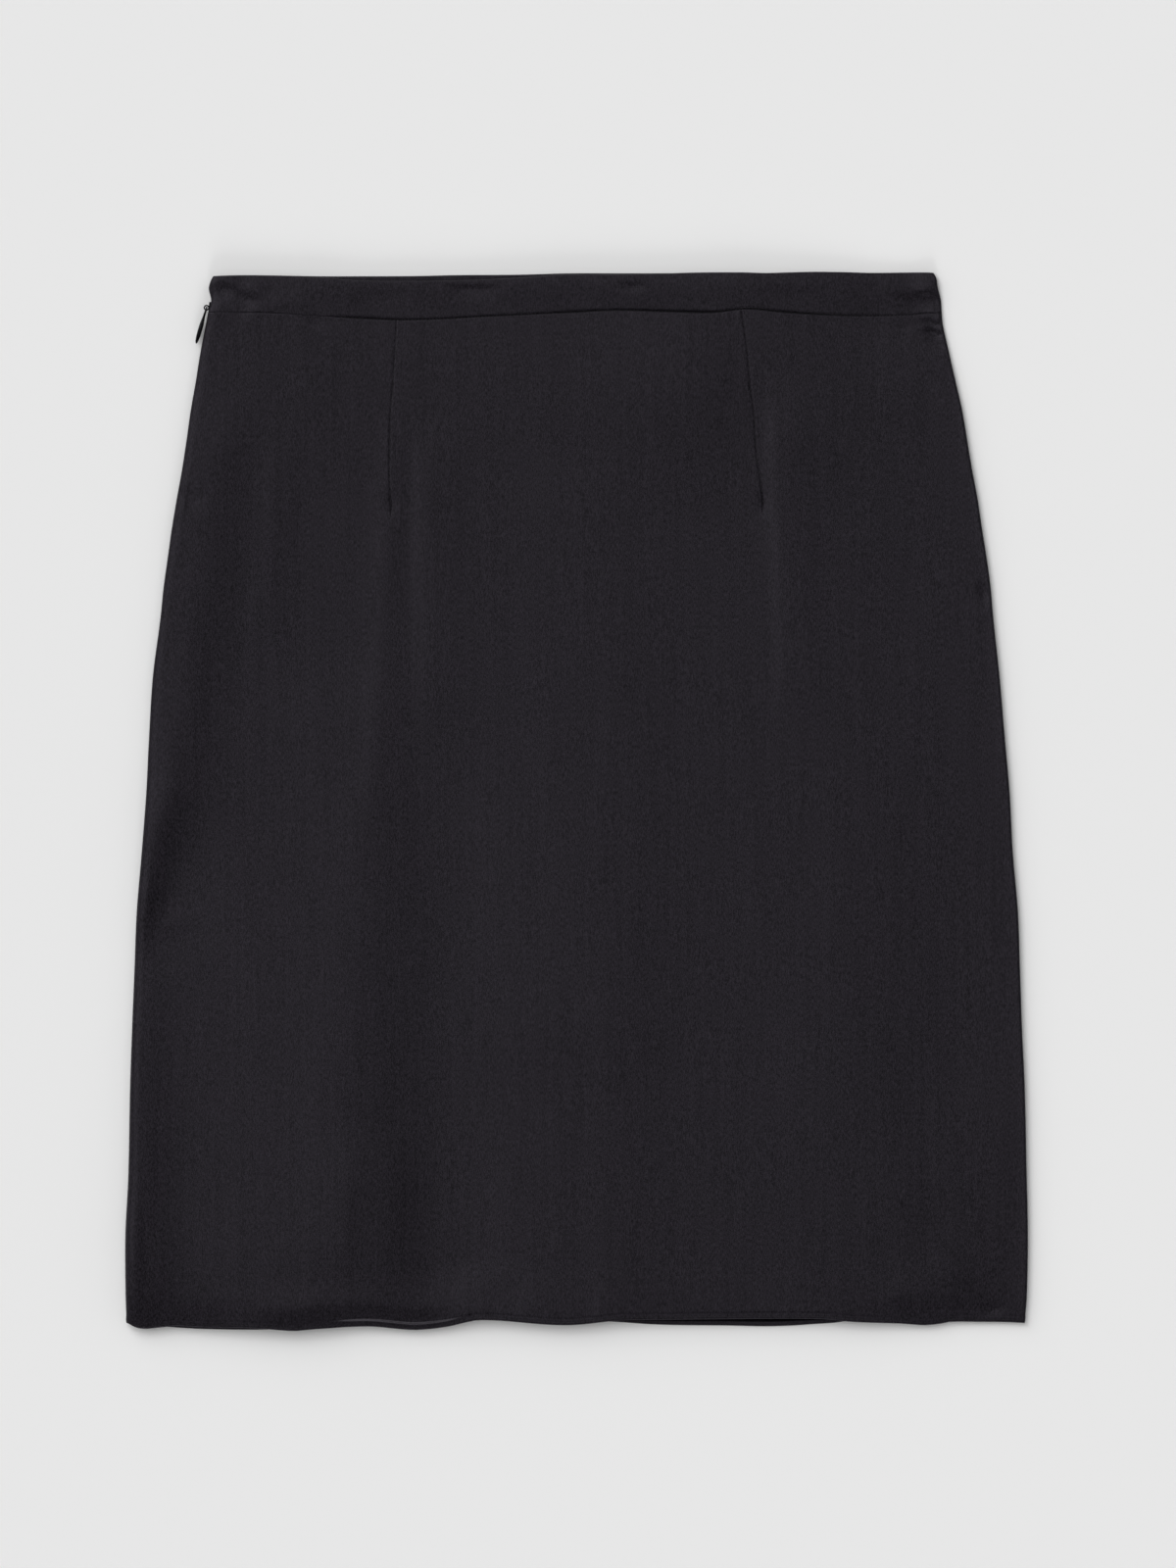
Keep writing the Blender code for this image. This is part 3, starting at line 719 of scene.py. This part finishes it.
def joinRings(shape, rings):
    # the sides and the two ends of a bar drawn as rings of points
    count = len(rings[0])
    for a, b in zip(rings, rings[1:]):
        for k in range(count):
            shape.faces.new((a[k], a[(k + 1) % count], b[(k + 1) % count], b[k]))
    shape.faces.new(rings[0][::-1])
    shape.faces.new(rings[-1])


def shellObject(name, node, outer, inner):
    # a closed thin shell of satin between two grids of points
    rows, columns = outer.shape[:2]
    count = rows * columns
    points = np.concatenate([outer.reshape(-1, 3), inner.reshape(-1, 3)]) * mm
    index = np.arange(count).reshape(rows, columns)
    a, b, c, d = index[:-1, :-1], index[:-1, 1:], index[1:, 1:], index[1:, :-1]
    outerFaces = np.stack([a, b, c, d], -1).reshape(-1, 4)
    innerFaces = np.stack([a, d, c, b], -1).reshape(-1, 4) + count
    border = np.concatenate([index[0, :], index[1:, -1], index[-1, -2::-1], index[-2:0:-1, 0]])
    after = np.roll(border, -1)
    rim = np.stack([after, border, border + count, after + count], -1)
    faces = np.concatenate([outerFaces, innerFaces, rim])
    draft = bpy.data.meshes.new("draft")
    draft.from_pydata(points.tolist(), [], faces.tolist())
    draft.validate()
    shape = bmesh.new()
    shape.from_mesh(draft)
    bpy.data.meshes.remove(draft)
    made = meshObject(name, shape, satin, "skirt")
    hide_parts(node)
    return made


def nodeAdder(tree):
    def add(kind, inputs=(), **settings):
        node = tree.nodes.new(kind)
        for key, value in settings.items():
            setattr(node, key, value)
        for key, value in dict(inputs).items():
            if isinstance(value, bpy.types.NodeSocket):
                tree.links.new(value, node.inputs[key])
            else:
                node.inputs[key].default_value = value
        return node

    return add


def nodeKit(name):
    material = bpy.data.materials.new(name)
    material.use_nodes = True
    tree = material.node_tree
    tree.nodes.clear()
    output = tree.nodes.new("ShaderNodeOutputMaterial")
    shader = tree.nodes.new("ShaderNodeBsdfPrincipled")
    tree.links.new(shader.outputs["BSDF"], output.inputs["Surface"])
    return material, tree, shader, nodeAdder(tree)


satinLook = {
    "dark": (0.0008, 0.0006, 0.0010, 1.0),
    "light": (0.0161, 0.0139, 0.0182, 1.0),
    "shineTint": (0.92, 0.86, 1.0, 1.0),
    "shine": 0.141,
    "roughness": (0.33, 0.38),
    "threadWidth": 0.36,  # mm
    "threadLength": 1.8,
    "crossShare": 0.25,  # how much of the grain runs across
    "streakWidth": 3.0,
    "streakLength": 90.0,
    "streakShare": 0.09,
    "grainRange": (0.415, 0.595),  # grain values of the dark and the light colour
    "cloudScale": 14.0,  # of the slow change in roughness
    "relief": 0.05,
    "sheen": 0.02,
    "sheenRoughness": 0.4,
}


def satinMaterial():
    material, tree, shader, add = nodeKit("blackSatin")
    place = add("ShaderNodeTexCoord").outputs["Object"]

    def noise(scale, detail, roughness):
        stretched = add("ShaderNodeMapping", {"Vector": place, "Scale": scale}).outputs["Vector"]
        inputs = {"Vector": stretched, "Scale": 1.0, "Detail": detail, "Roughness": roughness}
        return add("ShaderNodeTexNoise", inputs).outputs["Fac"]

    def blend(share, a, b):
        return add("ShaderNodeMix", {"Factor": share, "A": a, "B": b}, data_type="FLOAT").outputs["Result"]

    across, along = 1.0 / (satinLook["threadWidth"] * mm), 1.0 / (satinLook["threadLength"] * mm)
    threads = noise((across, along, across), 3.0, 0.65)
    picks = noise((along * 1.5, across * 1.3, across), 2.0, 0.6)
    weave = blend(satinLook["crossShare"], threads, picks)
    wide, long = 1.0 / (satinLook["streakWidth"] * mm), 1.0 / (satinLook["streakLength"] * mm)
    grain = blend(satinLook["streakShare"], weave, noise((wide, long, wide), 3.0, 0.7))
    darkest, lightest = satinLook["grainRange"]
    tone = add("ShaderNodeMapRange", {"Value": grain, "From Min": darkest, "From Max": lightest})
    colour = add("ShaderNodeMix", {"Factor": tone.outputs["Result"]}, data_type="RGBA")
    colour.inputs["A"].default_value = satinLook["dark"]
    colour.inputs["B"].default_value = satinLook["light"]
    tree.links.new(colour.outputs["Result"], shader.inputs["Base Color"])
    clouds = {"Vector": place, "Scale": satinLook["cloudScale"], "Detail": 3.0, "Roughness": 0.5}
    cloud = add("ShaderNodeTexNoise", clouds).outputs["Fac"]
    low, high = satinLook["roughness"]
    limits = {"Value": cloud, "From Min": 0.3, "From Max": 0.7, "To Min": low, "To Max": high}
    tree.links.new(add("ShaderNodeMapRange", limits).outputs["Result"], shader.inputs["Roughness"])
    bump = add("ShaderNodeBump", {"Strength": 1.0, "Distance": satinLook["relief"] * mm, "Height": weave})
    tree.links.new(bump.outputs["Normal"], shader.inputs["Normal"])
    shader.inputs["Specular IOR Level"].default_value = satinLook["shine"]
    shader.inputs["Specular Tint"].default_value = satinLook["shineTint"]
    shader.inputs["Sheen Weight"].default_value = satinLook["sheen"]
    shader.inputs["Sheen Roughness"].default_value = satinLook["sheenRoughness"]
    return material


threadLook = {"colour": (0.009, 0.0085, 0.0102, 1.0), "shine": 0.16, "roughness": 0.42, "twist": 4200.0}


def threadMaterial():
    material, tree, shader, add = nodeKit("blackThread")
    place = add("ShaderNodeTexCoord").outputs["Object"]
    twist = add("ShaderNodeTexNoise", {"Vector": place, "Scale": threadLook["twist"], "Detail": 2.0})
    bump = add("ShaderNodeBump", {"Strength": 0.5, "Distance": 0.03 * mm, "Height": twist.outputs["Fac"]})
    tree.links.new(bump.outputs["Normal"], shader.inputs["Normal"])
    shader.inputs["Base Color"].default_value = threadLook["colour"]
    shader.inputs["Roughness"].default_value = threadLook["roughness"]
    shader.inputs["Specular IOR Level"].default_value = threadLook["shine"]
    return material


lacquerLook = {
    "colour": (0.007, 0.007, 0.008, 1.0),
    "edge": (0.25, 0.25, 0.27, 1.0),
    "roughness": (0.2, 0.32),
    "wear": 900.0,  # how fine the worn grain is
    "metal": 0.9,
}


def lacquerMaterial():
    material, tree, shader, add = nodeKit("blackLacquer")
    place = add("ShaderNodeTexCoord").outputs["Object"]
    worn = {"Vector": place, "Scale": lacquerLook["wear"], "Detail": 4.0}
    wear = add("ShaderNodeTexNoise", worn).outputs["Fac"]
    low, high = lacquerLook["roughness"]
    rough = add("ShaderNodeMapRange", {"Value": wear, "To Min": low, "To Max": high})
    tree.links.new(rough.outputs["Result"], shader.inputs["Roughness"])
    bump = add("ShaderNodeBump", {"Strength": 0.3, "Distance": 0.01 * mm, "Height": wear})
    tree.links.new(bump.outputs["Normal"], shader.inputs["Normal"])
    shader.inputs["Base Color"].default_value = lacquerLook["colour"]
    shader.inputs["Metallic"].default_value = lacquerLook["metal"]
    shader.inputs["Specular Tint"].default_value = lacquerLook["edge"]
    return material


satin = satinMaterial()
thread = threadMaterial()
lacquer = lacquerMaterial()
print("skirt: finishes made")

divisions = {
    "hemRows": 5.1,  # mm above the hem with close rows
    "hemRow": 0.3,
    "rowStep": 3.1,  # mm, from the hem up to the darts
    "dartRow": 1.4,  # between rows beside the darts
    "dartFoot": 146.0,  # the y where those start
    "seamRow": 0.16,  # beside the waist seam
    "columnStep": 3.1,
    "dartColumn": 0.16,  # beside a dart's line
    "sideColumn": 0.6,
    "sideWidth": 100.0,  # from a side edge to its dart, to share out the columns
    "middleWidth": 184.0,  # from dart to dart
    "plainSide": 26,  # columns of the back
    "plainMiddle": 46,
    "backRows": (0.12, 0.4, 4.6),  # at the hem, at the waist, the widest
    "bandRows": (0.25, 0.1, 0.9),  # at the seam, at the top, the widest
}


def shareOut(width, nearStep):
    return gradedPlaces(width, nearStep, divisions["dartColumn"], divisions["columnStep"]) / width


sideParts = shareOut(divisions["sideWidth"], divisions["sideColumn"])
middleParts = shareOut(divisions["middleWidth"], divisions["dartColumn"])
fineFractions = [sideParts, middleParts[1:], (1.0 - sideParts[::-1])[1:]]
plainSide = np.linspace(0, 1, divisions["plainSide"])
plainFractions = [plainSide, np.linspace(0, 1, divisions["plainMiddle"])[1:], plainSide[1:]]


def panelShift(hem):
    def shift(x, level):
        aboveHem = level - hemY
        atHem = 1.0 - smooth(aboveHem / layout["hemCurve"])
        atWaist = smooth((level - waistY) / layout["waistCurve"] + 1.0)
        hemPart = atHem * (readTable(hem, x, 1) - hemY)
        return hemPart + atWaist * (readTable(waistSeam, x, 1) - waistY)

    return shift


def sideShare(grid):
    # a hem's or ditch's shape ends over the rounded edge and the turned-in allowance
    share = np.ones(grid.shape[1])
    count = len(lipAngles) + len(layout["allowance"])
    share[:count] = np.linspace(0.0, 1.0, count)
    share[-count:] = share[:count][::-1]
    return share


def frontPanel():
    hemRow, dartRow, dartFoot = divisions["hemRow"], divisions["dartRow"], divisions["dartFoot"]
    hemRows = np.concatenate([[0.0, 0.12, hemRow], np.arange(2.0 * hemRow, divisions["hemRows"], hemRow)])
    bodyFoot = hemY + divisions["hemRows"]
    bodyRows = gradedPlaces(dartFoot - bodyFoot, 0.35, dartRow, divisions["rowStep"])
    dartRows = gradedPlaces(waistY - dartFoot, dartRow, divisions["seamRow"], dartRow + 0.01)
    levels = np.concatenate([hemY + hemRows, bodyFoot + bodyRows, (dartFoot + dartRows)[1:]])
    shift, thick = panelShift(frontHem), layout["clothThick"]
    outer, inner = layerGrid(levels, fineFractions, thick, True, shift, frontHeight, frontRelief)
    turned, rounding = hemProfile(levels - hemY)
    side = sideShare(outer)
    sunk = ditch((waistY - levels)[:, None], outer[:, :, 0]) * side
    lift = (seams["hemRaise"] * turned - rounding)[:, None] * side
    drop = (seams["hemThick"] * turned - rounding)[:, None] * side
    outer[:, :, 2] += lift - sunk
    inner[:, :, 2] -= drop + sunk
    return shellObject("frontCloth", "front_panel", outer, inner), outer


frontCloth, frontPoints = frontPanel()
print("skirt: front panel", len(frontCloth.data.polygons), "faces")


# The back lies on the floor, and lifts off it a little in a few places
backFolds = [
    # top x, top y, foot x, foot y, bow, width to the left, to the right, spread at the foot, rise, at the foot
    (-120, 190, -134, -30, 4, 7, 9, 1.5, 0.5, 0.4),
    (-30, 120, -44, -262, -5, 12, 16, 1.4, 0.5, 0.8),
    (62, 170, 84, -90, 0, 9, 7, 1.6, 0.55, 0.4),
    (148, 60, 160, -262, 3, 14, 10, 1.5, 0.4, 0.7),
]

backCreases = [
    # x, y at one end, x, y at the other, width to its left, to its right, rise
    (-150, 236, -128, 222, 2, 3, 0.35),
    (120, 240, 142, 228, 2, 3, 0.35),
    (-190, -180, -176, -226, 3, 4, 0.4),
    (12, -212, 30, -246, 3, 3, 0.35),
]


def backHeight(x, y):
    # the outer face of the back, seen from below, so a rise is a hollow under it
    total = foldRise(x, y, backFolds) + creaseRise(x, y, backCreases)
    for dart in darts:
        offset = x - dartX(dart, y)
        share = smooth((y - dart[0][0][0] - seams["backGrooveFrom"]) / seams["backGrooveOver"])
        total = total + seams["backGroove"] * share * bell(offset / seams["dartLip"])
    aboveHem = y - readTable(backHem, x, 1)
    total = total + seams["backPucker"] * (1.0 + ripple(x, "backHem")) * hemPuckers(aboveHem)
    return np.maximum(total, 0.0)


def backPanel():
    length = waistY - hemY
    levels = hemY + gradedPlaces(length, *divisions["backRows"])
    shift, thick = panelShift(backHem), layout["clothThick"]
    outer, inner = layerGrid(levels, plainFractions, thick, False, shift, backHeight, None)
    turned, rounding = hemProfile(levels - hemY)
    sunk = seams["backDitch"] * bell((waistY - levels) / seams["ditchWidth"])
    side = sideShare(outer)
    outer[:, :, 2] += (rounding + sunk)[:, None] * side
    inner[:, :, 2] += (seams["backHemThick"] * turned - rounding + sunk)[:, None] * side
    return shellObject("backCloth", "back_panel", outer, inner), outer


backCloth, backPoints = backPanel()
print("skirt: back panel", len(backCloth.data.polygons), "faces")


def bandShift(column):
    def shift(x, level):
        share = (level - waistY) / (bandTopY - waistY)
        bottom = (1.0 - share) * (readTable(waistSeam, x, 1) - waistY)
        return bottom + share * (readTable(bandTop, x, column) - bandTopY)

    return shift


def bandHeight(x, y):
    height = layout["bandHeight"] + ripple(x, "band")
    middle = (waistY + bandTopY) / 2.0
    height = height + seams["bandCrown"] * bell((y - middle - seams["crownAbove"]) / seams["crownReach"])
    aboveSeam = y - readTable(waistSeam, x, 1)
    pulled = np.clip(seams["leastDrop"] + seams["dropGrowth"] * between(waistMarks, x, 1), 0.0, 1.0)
    height = height - pulled * seams["bandDrop"] * np.clip(1.0 - aboveSeam / seams["bandRoll"], 0.0, 1.0) ** 2
    return height + ripple(x, "bandFoot") * (1.0 - smooth(aboveSeam / seams["bandPuckerOver"]))


def bandUnder(x, y):
    return 0.0 * x


def waistband(name, node, isFront):
    depth = bandTopY - waistY
    levels = waistY + gradedPlaces(depth, *divisions["bandRows"])
    fractions = fineFractions if isFront else plainFractions
    height = bandHeight if isFront else bandUnder
    shift = bandShift(1 if isFront else 2)
    outer, inner = layerGrid(levels, fractions, layout["bandThick"], isFront, shift, height, bandRelief)
    up = 1.0 if isFront else -1.0
    rounding = rimRounding(bandTopY - levels, layout["bandThick"] / 2.0)
    share = 1.0 if isFront else seams["backBandShare"]
    sunk = ditch((levels - waistY)[:, None], outer[:, :, 0]) * share
    side = sideShare(outer)
    outer[:, :, 2] -= up * (rounding[:, None] + sunk) * side
    inner[:, :, 2] += up * rounding[:, None] * side
    return shellObject(name, node, outer, inner)


bandFront = waistband("bandFront", "waistband_front", True)
bandBack = waistband("bandBack", "waistband_back", False)
print("skirt: waistband", len(bandFront.data.polygons) + len(bandBack.data.polygons), "faces")

stitching = {
    "plain": (2.5, 0.45, 0.26),  # mm from stitch to stitch, between two, and across one
    "fine": (1.8, 0.85, 0.44),  # along the waist and the darts
    "aboveHem": 1.35,
    "sink": 0.06,
    "proud": 0.35,  # how far a bead's middle stands out, as a share of its half width
    "ahead": 0.2,  # the step that gives a stitch its direction
    "waistFrom": -124.0,
    "waistTo": 183.0,
    "waistRaise": 0.3,  # above the bottom of the seam
    "dartSink": 0.04,
    "backSet": 0.12,  # into the underside, so that it doesn't stand on the thread
    "sideTrim": 10,  # columns beside each side edge without stitches
}

beadRings = [
    # place along half a stitch, share of its width, how far it dips into the cloth
    (-1, 0.3, 1),
    (-0.8, 0.8, 0.5),
    (-0.35, 1, 0),
    (0.35, 1, 0),
    (0.8, 0.8, 0.5),
    (1, 0.3, 1),
]


def stitchRow(name, path, up, kind):
    # stitches along a path of points, each a short rounded bead of thread
    steps = np.linalg.norm(np.diff(path, axis=0), axis=1)
    reach = np.concatenate([[0.0], np.cumsum(steps)])
    shape = bmesh.new()
    pitch, gap, width = stitching[kind]
    half, radius = (pitch - gap) / 2.0, width / 2.0

    def pointAt(place):
        return np.array([np.interp(place, reach, path[:, k]) for k in range(3)])

    at = pitch
    while at < reach[-1] - pitch:
        rings = []
        for along, size, dip in beadRings:
            place = at + along * half
            centre = pointAt(place)
            forward = pointAt(place + stitching["ahead"]) - centre
            forward = forward / (np.linalg.norm(forward) + 1e-9)
            across = np.cross(forward, up)
            centre = centre + up * (radius * stitching["proud"] - stitching["sink"] - dip * radius)
            ring = []
            for k in range(6):
                turn = 2.0 * math.pi * k / 6.0
                point = centre + (across * math.cos(turn) + up * math.sin(turn)) * radius * size
                ring.append(shape.verts.new(Vector(point) * mm))
            rings.append(ring)
        joinRings(shape, rings)
        at += pitch
    return meshObject(name, shape, thread, "skirt")


def hemLine(points):
    # the line of stitches on a panel's outer face, above its hem
    line = []
    for i in range(stitching["sideTrim"], points.shape[1] - stitching["sideTrim"]):
        column = points[:, i, :]
        y = column[0, 1] + stitching["aboveHem"]
        line.append([np.interp(y, column[:, 1], column[:, k]) for k in range(3)])
    return np.array(line)


above, below = np.array([0.0, 0.0, 1.0]), np.array([0.0, 0.0, -1.0])


def waistLine():
    # in the waist seam
    line = frontPoints[-1]
    line = line[(line[:, 0] > stitching["waistFrom"]) & (line[:, 0] < stitching["waistTo"])]
    return line + [0.0, 0.1, stitching["waistRaise"]]


def dartLine(dart):
    # in a dart's groove
    y = np.arange(dart[0][0][0] + 1.0, waistY - 3.0, 0.6)
    x = dartX(dart, y)
    return np.stack([x, y, frontHeight(x, y) + frontRelief(x, y) - stitching["dartSink"]], -1)


hemStitches = stitchRow("hemStitches", hemLine(frontPoints), above, "plain")
backLine = hemLine(backPoints) + [0.0, 0.0, stitching["backSet"]]
backStitches = stitchRow("backHemStitches", backLine, below, "plain")
waistStitches = stitchRow("waistStitches", waistLine(), above, "fine")
for dartName, dart in zip(("leftDartStitches", "rightDartStitches"), darts):
    stitchRow(dartName, dartLine(dart), above, "fine")
print("skirt: stitches")

zipLook = {
    "topY": 262.0,
    "endY": 68.0,
    "coilIn": 4.2,  # from the side edge to the middle of the spiral
    "toothPitch": 1.25,
    "wireRadius": 0.22,
    "loopWide": 0.72,  # half the spiral's width and height
    "loopHigh": 0.45,
    "turnPoints": 10,
    "tapeIn": 5.05,
    "tapeWidth": 7.0,
    "tapeThick": 0.4,
    "tapeRows": 90,
}


def zipEdge(y):
    # the left edge and the seam's level there, which the chain follows
    return readTable(sideEdges, y, 1), edgeTop(y, -1) * layout["seamShare"]


def zipChain():
    # the spiral chain and its tape, closed, inside the left seam
    shape = bmesh.new()
    count = int((zipLook["topY"] - zipLook["endY"]) / zipLook["toothPitch"])
    turns = zipLook["turnPoints"]
    places = zipLook["topY"] - np.arange(count * turns + 1) * zipLook["toothPitch"] / turns
    side = Vector((0.0, 1.0, 0.0))
    rings = []
    for i, (y, edge, level) in enumerate(zip(places, *zipEdge(places))):
        c, s = math.cos(2.0 * math.pi * i / turns), math.sin(2.0 * math.pi * i / turns)
        x = edge + zipLook["coilIn"] + zipLook["loopWide"] * c
        centre = Vector((x, y, level + zipLook["loopHigh"] * s))
        out = Vector((c, 0.0, s))
        around = (out, side, -out, -side)
        rings.append([shape.verts.new((centre + way * zipLook["wireRadius"]) * mm) for way in around])
    joinRings(shape, rings)
    # the tape
    half, width = zipLook["tapeThick"] / 2.0, zipLook["tapeWidth"]
    corners = ((0.0, -half), (width, -half), (width, half), (0.0, half))
    bars = []
    places = np.linspace(zipLook["topY"], zipLook["endY"], zipLook["tapeRows"])
    for y, edge, level in zip(places, *zipEdge(places)):
        start = edge + zipLook["tapeIn"]
        bars.append([shape.verts.new(Vector((start + x, y, level + z)) * mm) for x, z in corners])
    joinRings(shape, bars)
    made = meshObject("zipChain", shape, thread, "skirt", 50)
    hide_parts("zip_tape")


zipChain()
print("skirt: zip chain")

tabLook = {
    "hinge": (-188.605, 252.0, 3.25),
    "angle": 16.3,  # degrees out from the middle of the skirt
    "fullness": 2.2,  # of its section, 2 is an ellipse
    "barRadius": 0.32,
    "armAt": 1.45,  # from the hinge's middle to each arm's
}

tabPlate = [
    # distance from the hinge, half width, half thickness
    (1.8, 1.8, 0.52),
    (2.8, 1.66, 0.56),
    (4.6, 1.4, 0.64),
    (7, 1.55, 0.86),
    (9.5, 1.92, 1.04),
    (12.2, 2.18, 1.1),
    (14.6, 2.12, 1.04),
    (16.6, 1.7, 0.88),
    (17.9, 1.15, 0.68),
    (18.7, 0.62, 0.4),
    (19.1, 0.15, 0.1),
]

tabArm = [
    # distance from the hinge, half width, half thickness
    (-0.62, 0.16, 0.1),
    (-0.46, 0.3, 0.28),
    (0, 0.36, 0.34),
    (0.6, 0.38, 0.34),
    (1.4, 0.4, 0.42),
    (2.4, 0.42, 0.5),
]


def loft(shape, table, middle, steps, sides=20):
    # a rounded bar along the tab, closed at both ends
    rings, power = [], tabLook["fullness"]
    for along in np.linspace(table[0][0], table[-1][0], steps):
        wide, thick = (float(readTable(table, np.array([along]), k)[0]) for k in (1, 2))
        ring = []
        for k in range(sides):
            c, s = math.cos(2.0 * math.pi * k / sides), math.sin(2.0 * math.pi * k / sides)
            reach = (abs(c) ** power + abs(s) ** power) ** (-1.0 / power)
            ring.append(shape.verts.new(Vector((thick * c * reach, -along, middle + wide * s * reach)) * mm))
        rings.append(ring)
    joinRings(shape, rings)


def pullTab():
    # a drop-shaped plate, its two arms and the bar that turns in the slider's ring
    shape = bmesh.new()
    loft(shape, tabPlate, 0.0, 44)
    for side in (-1.0, 1.0):
        loft(shape, tabArm, side * tabLook["armAt"], 16)
    radius, length = tabLook["barRadius"] * mm, 2.0 * tabLook["armAt"] * mm
    bmesh.ops.create_cone(shape, cap_ends=True, segments=20, radius1=radius, radius2=radius, depth=length)
    turned = Matrix.Rotation(math.radians(-tabLook["angle"]), 4, "Z")
    placed = Matrix.Translation(Vector(tabLook["hinge"]) * mm) @ turned
    bmesh.ops.transform(shape, matrix=placed, verts=shape.verts)
    made = meshObject("pullTab", shape, lacquer, "pull_tab", 40)
    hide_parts("zip_pull_tab")


pullTab()
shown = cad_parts["zip_slider"]
shown.data.materials.clear()
shown.data.materials.append(lacquer)
print("skirt: slider and pull tab")

stageLook = {"colour": (0.80, 0.80, 0.80, 1.0), "roughness": 0.9, "shine": 0.1, "size": 6.0, "level": -0.0002}


def floor():
    material, _, shader, _ = nodeKit("paleFloor")
    shader.inputs["Base Color"].default_value = stageLook["colour"]
    shader.inputs["Roughness"].default_value = stageLook["roughness"]
    shader.inputs["Specular IOR Level"].default_value = stageLook["shine"]
    shape = bmesh.new()
    bmesh.ops.create_grid(shape, x_segments=4, y_segments=4, size=stageLook["size"] / 2.0)
    mesh = bpy.data.meshes.new("floor")
    shape.to_mesh(mesh)
    shape.free()
    mesh.materials.append(material)
    made = newObject("floor", mesh)
    made.location.z = stageLook["level"]


floor()

lights = {
    "skyColour": (1.0, 1.0, 1.0, 1.0),
    "sky": 0.3,  # the even part of the light from all round
    "skyLean": 0.5,  # how much more of it comes from the upper left
    "skyFrom": (-0.62, 0.78, 0.0),
    "walls": 0.72,  # how bright the walls at the sides are
    "wallFade": 1.4,
    # three suns: the direction that each comes from, its strength, degrees across
    "top": ((-0.35, 0.40, 1.0), 1.225, 56.0),
    "key": ((-1.0, 1.15, 0.80), 1.215, 46.0),
    "low": ((0.0, -1.0, 0.34), 1.05, 22.0),  # from beyond the hem, whose rolled strip catches it
}


def sun(name):
    comesFrom, data = lights[name][0], bpy.data.lights.new(name, "SUN")
    data.energy, data.angle = lights[name][1], math.radians(lights[name][2])
    newObject(name, data).rotation_euler = Vector(comesFrom).to_track_quat("Z", "Y").to_euler()


def lighting():
    world = bpy.data.worlds.new("softStudio")
    world.use_nodes = True
    tree = world.node_tree
    back = tree.nodes["Background"]
    back.inputs["Color"].default_value = lights["skyColour"]
    add = nodeAdder(tree)

    def reckon(operation, *values):
        return add("ShaderNodeMath", enumerate(values), operation=operation).outputs["Value"]

    way = add("ShaderNodeTexCoord").outputs["Generated"]
    lean = add("ShaderNodeVectorMath", {0: way, 1: lights["skyFrom"]}, operation="DOT_PRODUCT")
    sky = reckon("MULTIPLY_ADD", lean.outputs["Value"], lights["sky"] * lights["skyLean"], lights["sky"])
    # pale walls to the left and right, near the horizon
    parts = add("ShaderNodeSeparateXYZ", {0: way}).outputs
    sideways = reckon("MULTIPLY", parts["X"], parts["X"])
    low = reckon("POWER", reckon("SUBTRACT", 1.0, reckon("ABSOLUTE", parts["Z"])), lights["wallFade"])
    walls = reckon("MULTIPLY", reckon("MULTIPLY", sideways, low), lights["walls"])
    tree.links.new(reckon("ADD", sky, walls), back.inputs["Strength"])
    bpy.context.scene.world = world
    for name in ("top", "key", "low"):
        sun(name)
    bpy.context.scene.view_settings.view_transform = "Standard"


lighting()

cameraLook = {"centre": (0.006, 0.009), "height": 9.0, "field": 0.8, "subject": 0.003}


def camera():
    data = bpy.data.cameras.new("camera")
    data.sensor_fit = "VERTICAL"
    data.sensor_height = 36.0
    data.lens = 36.0 * (cameraLook["height"] - cameraLook["subject"]) / cameraLook["field"]
    data.clip_start = 0.05
    made = newObject("camera", data)
    made.location = (*cameraLook["centre"], cameraLook["height"])
    bpy.context.scene.camera = made


camera()

print("skirt: done")
